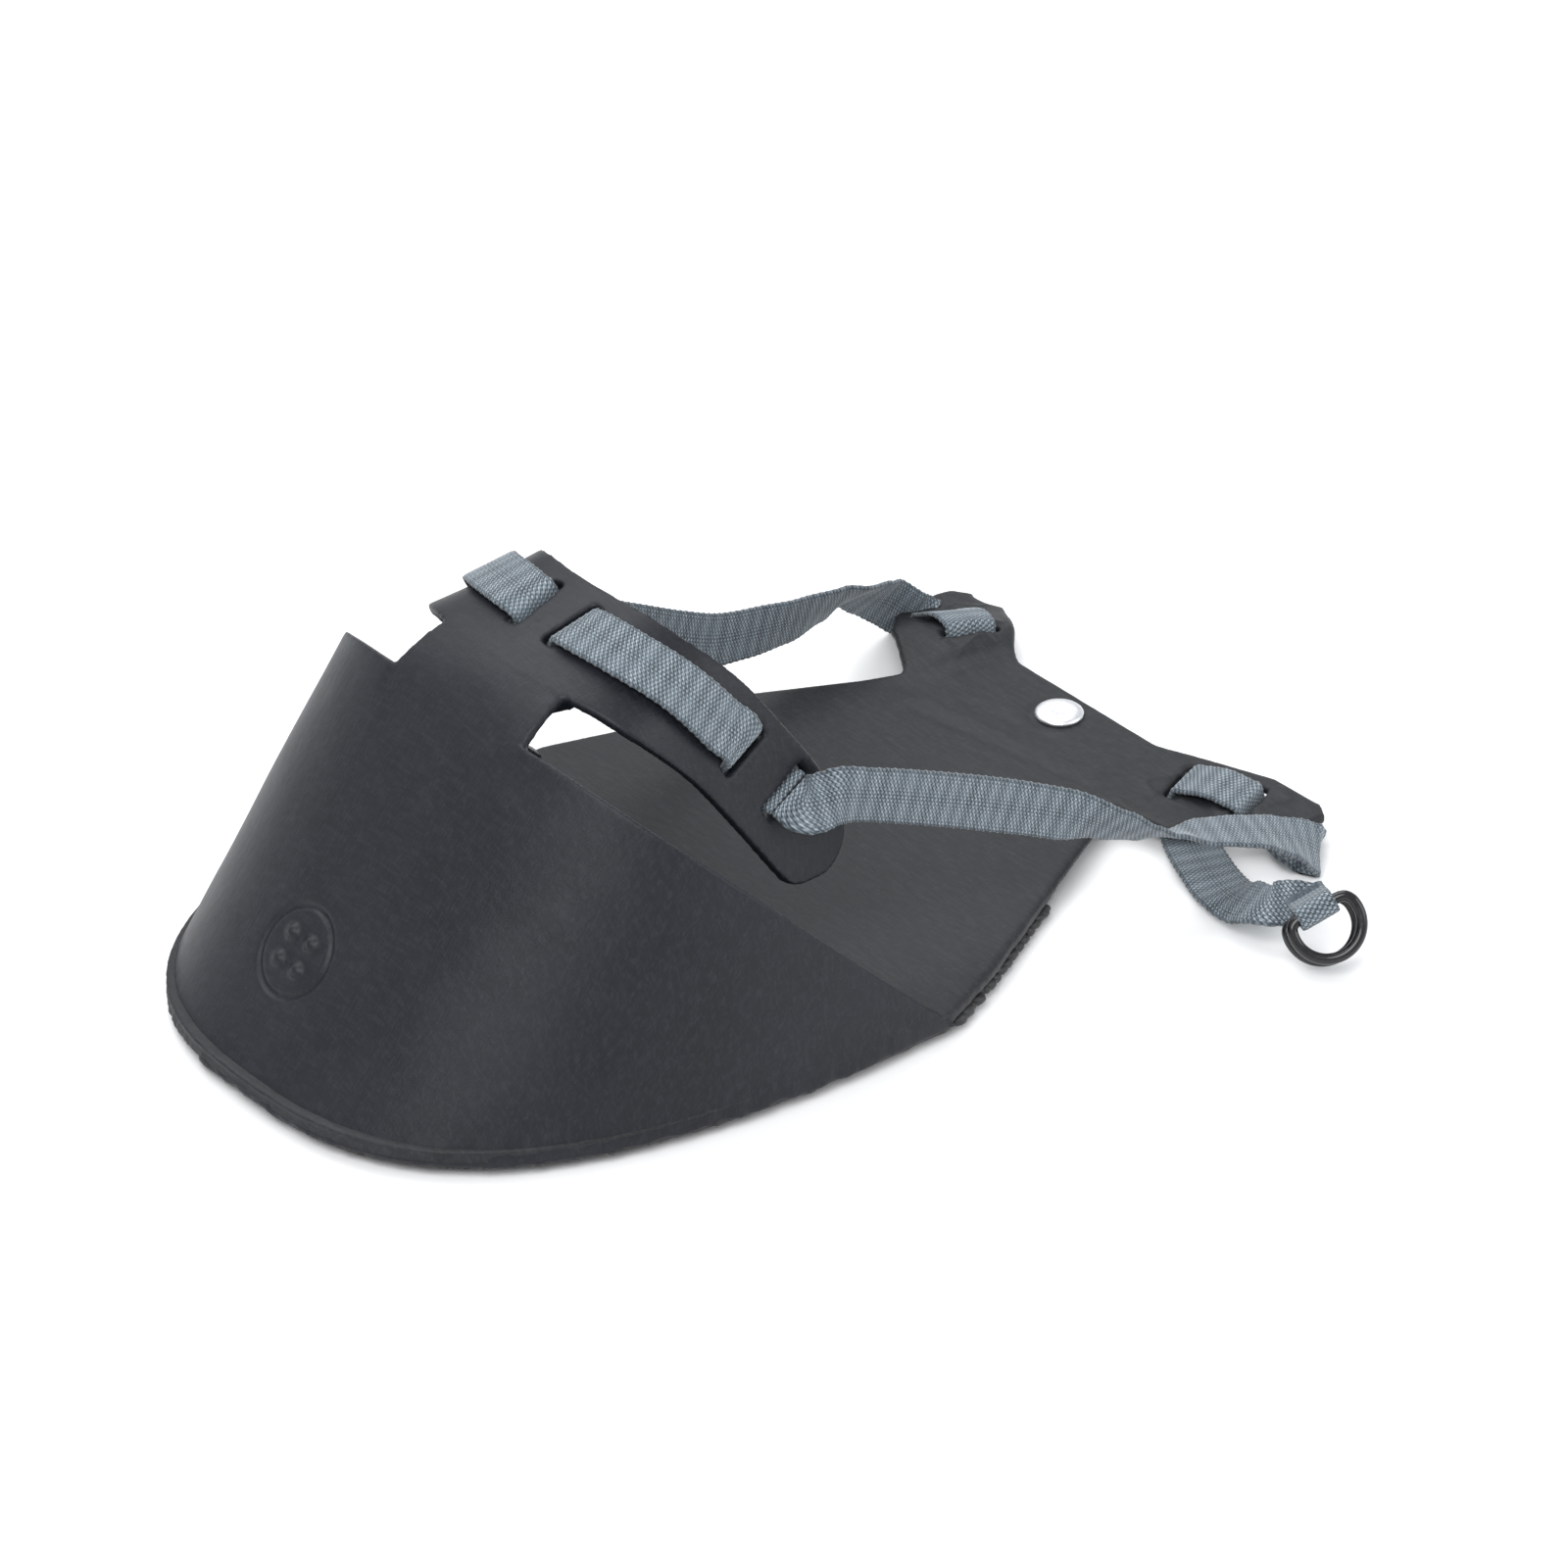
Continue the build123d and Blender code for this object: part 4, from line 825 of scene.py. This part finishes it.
# the near strap makes a half twist before it folds round the ear's outer end
NEAR_MIDS = [((39.5, -47.6, 50.5), (0.45, 0.15, 0.85)), ((46.0, -48.6, 48.6), (0.28, -0.04, 0.95)),
             ((58.9, -51.3, 44.0), (0.42, -0.05, 0.90)), ((75.7, -54.5, 37.2), (0.41, -0.05, 0.91)),
             ((91.9, -58.5, 30.2), (0.39, -0.16, 0.91)), ((104.7, -62.3, 23.9), (0.18, -0.64, 0.75)),
             ((111.6, -64.8, 20.3), (-0.03, -0.78, 0.62)), ((117.6, -67.0, 18.6), (-0.26, -0.86, 0.43)),
             ((125.5, -70.0, 17.4), (-0.34, -0.94, 0.06)), ((134.9, -73.4, 15.4), (-0.28, -0.95, -0.06)),
             ((143.6, -75.4, 11.4), (-0.36, -0.90, -0.25)), ((150.8, -76.2, 6.4), (-0.62, -0.68, -0.40)),
             ((153.2, -75.7, 4.1), (-0.66, -0.66, -0.35)), ((153.5, -73.8, 2.5), (-0.74, -0.62, -0.22)),
             ((152.8, -69.8, 2.3), (-0.87, -0.48, -0.06))]
near_span, len_near = web("strap_near_run", span(1, NEAR_MIDS, None, -1))
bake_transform(near_span)
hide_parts("strap_near_span")
FAR_MIDS = [((39.5, -47.4, 49.8), (0.45, 0.15, 0.85)), ((46.0, -48.0, 46.5), (0.30, 0.00, 0.95)),
            ((60.0, -48.6, 39.0), (0.32, -0.05, 0.94)), ((73.0, -49.0, 32.0), (0.27, -0.08, 0.96)),
            ((85.0, -49.5, 26.5), (0.23, -0.09, 0.97)), ((95.5, -50.2, 24.0), (0.21, 0.00, 0.98)),
            ((109.5, -51.5, 21.3), (0.18, 0.21, 0.96)), ((122.5, -53.5, 19.7), (0.15, 0.48, 0.87)),
            ((130.2, -55.0, 18.4), (0.38, 0.73, 0.57)), ((137.2, -57.0, 14.4), (0.60, 0.47, 0.64)),
            ((143.4, -58.6, 10.2), (0.62, 0.22, 0.76)), ((147.8, -58.6, 6.2), (0.75, 0.25, 0.50)),
            ((151.0, -58.0, 3.4), (0.90, 0.30, 0.15))]
far_span, len_far = web("strap_far_run", span(-1, FAR_MIDS, far_ear), phase=0.4)
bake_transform(far_span)
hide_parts("strap_far_span")


def over_ear(sy):
    i, o, rho, gam = ear(sy)
    zu, zo, zm = Z_UNDER, Z_OVER, Z_SOLE - FLAP_T / 2
    return [(zz(o + rho * 4.6, zu), gam), (zz(o + rho * 2.4, zu), gam), (zz(o + rho * 0.75, zu + .35), gam), (zz(o, zm), gam),
            (zz(o - rho * 0.75, zo - .35), gam), (zz(o - rho * 2.6, zo), gam), (zz(o - rho * 8.2, zo + .9), gam),
            (zz(i + rho * 2.6, zo), gam), (zz(i + rho * 0.75, zo - .35), gam), (zz(i, zm), gam),
            (zz(i - rho * 0.75, zu + .35), gam), (zz(i - rho * 2.6, zu), gam)]
near_ear, len_ne = web("strap_near_ear_weave", over_ear(1), body="heel_flap", nodes=("strap_near_ear",))
far_end = over_ear(-1) + [(V(148.2, 33.0, Z_UNDER - .35), V(0.97, 0.2, 0)), (V(146.5, 26.0, 2.95), V(1, .15, 0)), (V(143.2, 13.0, 2.6), V(1, .1, 0)),
                          (V(141.3, 9.6, 2.6), V(1, 0, 0)), (V(141.3, -9.6, 2.6), V(1, 0, 0)), (V(141.0, -16.0, 2.4), V(1, 0, 0))]
far_ear_strap, len_fe = web("strap_far_ear_weave", far_end, body="heel_flap", nodes=("strap_far_ear",), warp=far_ear)

# ----------------------------------------------------------------- ring tail
RB1 = V(126.3, -104.2, 14.4)
B1 = unit((0.836, -0.349, 0.424))
F1 = V(0.091, -0.673, -0.734)
F1 = unit(F1 - B1 * (F1 @ B1))
V1 = unit(np.cross(F1, B1))
if V1[1] > 0:
    V1 = -V1
RB2 = RB1 - V1 * 3.0 - B1 * 1.0
def loop_pt(e1, e2, s_=-0.5): return RB1 + F1 * e1 + V1 * e2 + B1 * s_
TAB_W = 9.0
tail = [((149.2, -35.2, Z_UNDER - 1.35), (0.81, -0.585, 0), WEB_W), ((143.0, -43.6, Z_UNDER - 1.35), (0.81, -0.585, 0), WEB_W),
        ((136.6, -52.6, 2.1), (0.83, -0.56, 0.0), WEB_W), ((131.4, -63.0, 2.6), (0.90, -0.43, 0.05), WEB_W),
        ((127.2, -74.0, 3.3), (0.94, -0.30, 0.16), WEB_W), ((124.9, -83.0, 6.0), (0.80, -0.20, 0.56), 12.0),
        ((124.6, -90.0, 9.0), (0.80, -0.28, 0.53), 10.6)]
lay_b = [(-1.6, -8.2), (-0.2, -6.6), (1.35, -4.75), (2.15, -3.2), (2.2, -1.5), (2.2, 0.1), (1.55, 1.6), (0.0, 2.2), (-1.55, 1.6), (-2.2, 0.0), (-2.35, -3.0), (-2.9, -5.6), (-4.2, -8.6)]
secs = [(V(*p), V(*w)) for p, w, _ in tail] + [(loop_pt(a, b), B1) for a, b in lay_b]
wid = [x[2] for x in tail] + [TAB_W] * len(lay_b)
ring_tail, len_rt = web("strap_ring_tail_loop", secs, body="heel_flap", nodes=("strap_ring_tail",), widths=wid)


def d_ring(name, p, b, f, body, cad):
    R_, D_ = 7.6, 3.8
    c = p + f * D_
    h = math.sqrt(R_ ** 2 - D_ ** 2)
    t0 = math.atan2(-D_, h)
    arc = [c + b * (R_ * math.cos(t)) + f * (R_ * math.sin(t)) for t in np.linspace(t0, math.pi - t0, 60)]
    bar = [p + b * x for x in np.linspace(-h, h, 14)[1:-1]]
    path = np.array(arc + bar)
    # round the two corners
    for _ in range(5):
        for idx in (range(-3, 4), range(57, 63)):
            for i in idx:
                j = i % len(path)
                path[j] = 0.5 * path[j] + 0.25 * (path[(j - 1) % len(path)] + path[(j + 1) % len(path)])
    n = len(path)
    nz = unit(np.cross(b, f))
    seg = 20
    vs = []
    for i in range(n):
        t = unit(path[(i + 1) % n] - path[(i - 1) % n])
        o = unit(np.cross(t, nz))
        for j in range(seg):
            a = 2 * math.pi * j / seg
            vs.append(path[i] + WIRE_R * (o * math.cos(a) + nz * math.sin(a)))
    fs = []
    for i in range(n):
        for j in range(seg):
            a, a2 = i * seg + j, i * seg + (j + 1) % seg
            c_, c2 = ((i + 1) % n) * seg + j, ((i + 1) % n) * seg + (j + 1) % seg
            fs.append((a, c_, c2, a2))
    ob = new_obj(name, vs, fs, M_WIRE)
    recalc(ob)
    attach(ob, body)
    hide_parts(cad)
    return ob


d_ring("ring_front_wire", RB1, B1, F1, "ring_front", "d_ring_front")
d_ring("ring_rear_wire", RB2, B1, F1, "ring_rear", "d_ring_rear")


# stitching over the loop's end: rows of zig-zag thread
def threads():
    a_, b_ = loop_pt(-2.9, -5.6), loop_pt(-4.2, -8.6)
    td = unit(b_ - a_)
    tn = unit(np.cross(B1, td))
    ctr = (a_ + b_) / 2
    if tn @ F1 > 0:
        tn = -tn
    vs, fs, n = [], [], 0
    for row in range(4):
        for k in range(9):
            x0, x1 = -3.7 + k * 0.82, -3.7 + (k + 1) * 0.82
            z0 = -1.25 + row * 0.75
            y0, y1 = (z0, z0 + .5) if k % 2 else (z0 + .5, z0)
            p0 = ctr + B1 * x0 + td * y0 + tn * (WEB_T / 2 + .12)
            p1 = ctr + B1 * x1 + td * y1 + tn * (WEB_T / 2 + .12)
            t = unit(p1 - p0)
            o = unit(np.cross(t, tn))
            segs, r = 8, 0.13
            st = [0, .12, .5, .88, 1]
            rad = [0.3, .85, 1, .85, 0.3]
            base = n
            for s_, q in zip(st, rad):
                cc = p0 + (p1 - p0) * s_ + tn * (0.08 * math.sin(math.pi * s_))
                for j in range(segs):
                    an = 2 * math.pi * j / segs
                    vs.append(cc + (o * math.cos(an) + tn * math.sin(an)) * r * q)
                n += segs
            for i in range(4):
                for j in range(segs):
                    a = base + i * segs + j
                    b2 = base + i * segs + (j + 1) % segs
                    fs.append((a, b2, b2 + segs, a + segs))
            fs.append(tuple(base + j for j in range(segs))[::-1])
            fs.append(tuple(base + 4 * segs + j for j in range(segs)))
    return vs, fs


tv, tf = threads()
stitch = new_obj("loop_stitching", tv, tf, M_THREAD)
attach(stitch, "heel_flap")
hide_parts("bar_tack")


# --------------------------------------------------------------------- rivet
def lathe(name, prof, cx, cy, mat, seg=72):
    vs, fs = [], []
    for r, z in prof:
        for j in range(seg):
            a = 2 * math.pi * j / seg
            vs.append((cx + r * math.cos(a), cy + r * math.sin(a), z))
    n = len(prof)
    for i in range(n - 1):
        for j in range(seg):
            a, b = i * seg + j, i * seg + (j + 1) % seg
            fs.append((a, b, b + seg, a + seg))
    fs.append(tuple(range(seg))[::-1])
    fs.append(tuple(range((n - 1) * seg, n * seg)))
    ob = new_obj(name, vs, fs, mat)
    recalc(ob)
    return ob


cap_prof = [(4.9, 6.92), (5.45, 7.0), (5.62, 7.22), (5.64, 7.5), (5.5, 7.82), (5.15, 8.12), (4.6, 8.34), (3.9, 8.46), (3.0, 8.48), (2.0, 8.44), (1.0, 8.42), (0.25, 8.41)]
cap_prof[0] = (4.9, 6.92)
rivet = lathe("rivet_head", cap_prof, RIVET_X, 0, M_METAL)
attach(rivet, "heel_flap")
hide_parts("rivet_cap")
for nm in ("rivet_post", "rivet_back_cap"):
    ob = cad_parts[nm]
    ob.data.materials.clear()
    ob.data.materials.append(M_METAL)
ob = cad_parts["strap_keeper"]
ob.data.materials.clear()
ob.data.materials.append(M_WALL)

# ----------------------------------------------------------- floor, light, camera
def stage_mat():
    m, nt, b = mat_new("pale_floor")
    b.inputs["Base Color"].default_value = (0.90, 0.90, 0.90, 1)
    b.inputs["Roughness"].default_value = 0.85
    b.inputs["Specular IOR Level"].default_value = 0.15
    return m


floor = new_obj("floor", [(-4000, -4000, -0.02), (4000, -4000, -0.02), (4000, 4000, -0.02), (-4000, 4000, -0.02)], [(0, 1, 2, 3)], stage_mat(), False)

AZ, EL, D, TX, TY = -39.73, 32.05, 1754.3, 84.97, 25.55
a, e = math.radians(AZ), math.radians(EL)
back = Vector((math.sin(a) * math.cos(e), -math.cos(a) * math.cos(e), math.sin(e)))
cam_data = bpy.data.cameras.new("camera")
cam_data.lens, cam_data.sensor_width, cam_data.sensor_fit = 180.0, 36.0, "HORIZONTAL"
cam_data.clip_start, cam_data.clip_end = 0.05, 50
cam = bpy.data.objects.new("camera", cam_data)
cam.location = Vector((TX * MM, TY * MM, 0)) + back * D * MM
cam.rotation_mode = "QUATERNION"
cam.rotation_quaternion = (-back).to_track_quat("-Z", "Y")
bpy.context.scene.collection.objects.link(cam)
bpy.context.scene.camera = cam


def area(name, loc, target, size, power, color=(1, 1, 1)):
    d = bpy.data.lights.new(name, "AREA")
    d.shape, d.size, d.size_y, d.energy, d.color = "RECTANGLE", size[0], size[1], power, color
    o = bpy.data.objects.new(name, d)
    o.location = loc
    o.rotation_mode = "QUATERNION"
    o.rotation_quaternion = (Vector(target) - Vector(loc)).to_track_quat("-Z", "Y")
    bpy.context.scene.collection.objects.link(o)
    return o


area("key", (-0.75, -0.55, 1.15), (0.0, 0, 0.02), (0.9, 0.9), 15, (1.0, 1.0, 1.0))
area("fill", (0.95, -1.1, 0.75), (0.05, 0, 0.02), (1.0, 0.8), 7, (0.97, 0.985, 1.0))
area("top", (0.25, 0.75, 1.25), (0.05, 0, 0.02), (1.3, 0.9), 12, (0.985, 0.99, 1.0))
world = bpy.data.worlds.new("world")
bpy.context.scene.world = world
world.use_nodes = True
bg = world.node_tree.nodes["Background"]
bg.inputs[0].default_value = (0.95, 0.97, 1.0, 1)
bg.inputs[1].default_value = 0.75
bpy.context.scene.view_settings.view_transform = "Standard"
bpy.context.scene.view_settings.look = "None"

print("strap lengths mm", [round(x, 1) for x in (len_collar, len_near, len_far, len_ne, len_fe, len_rt)])
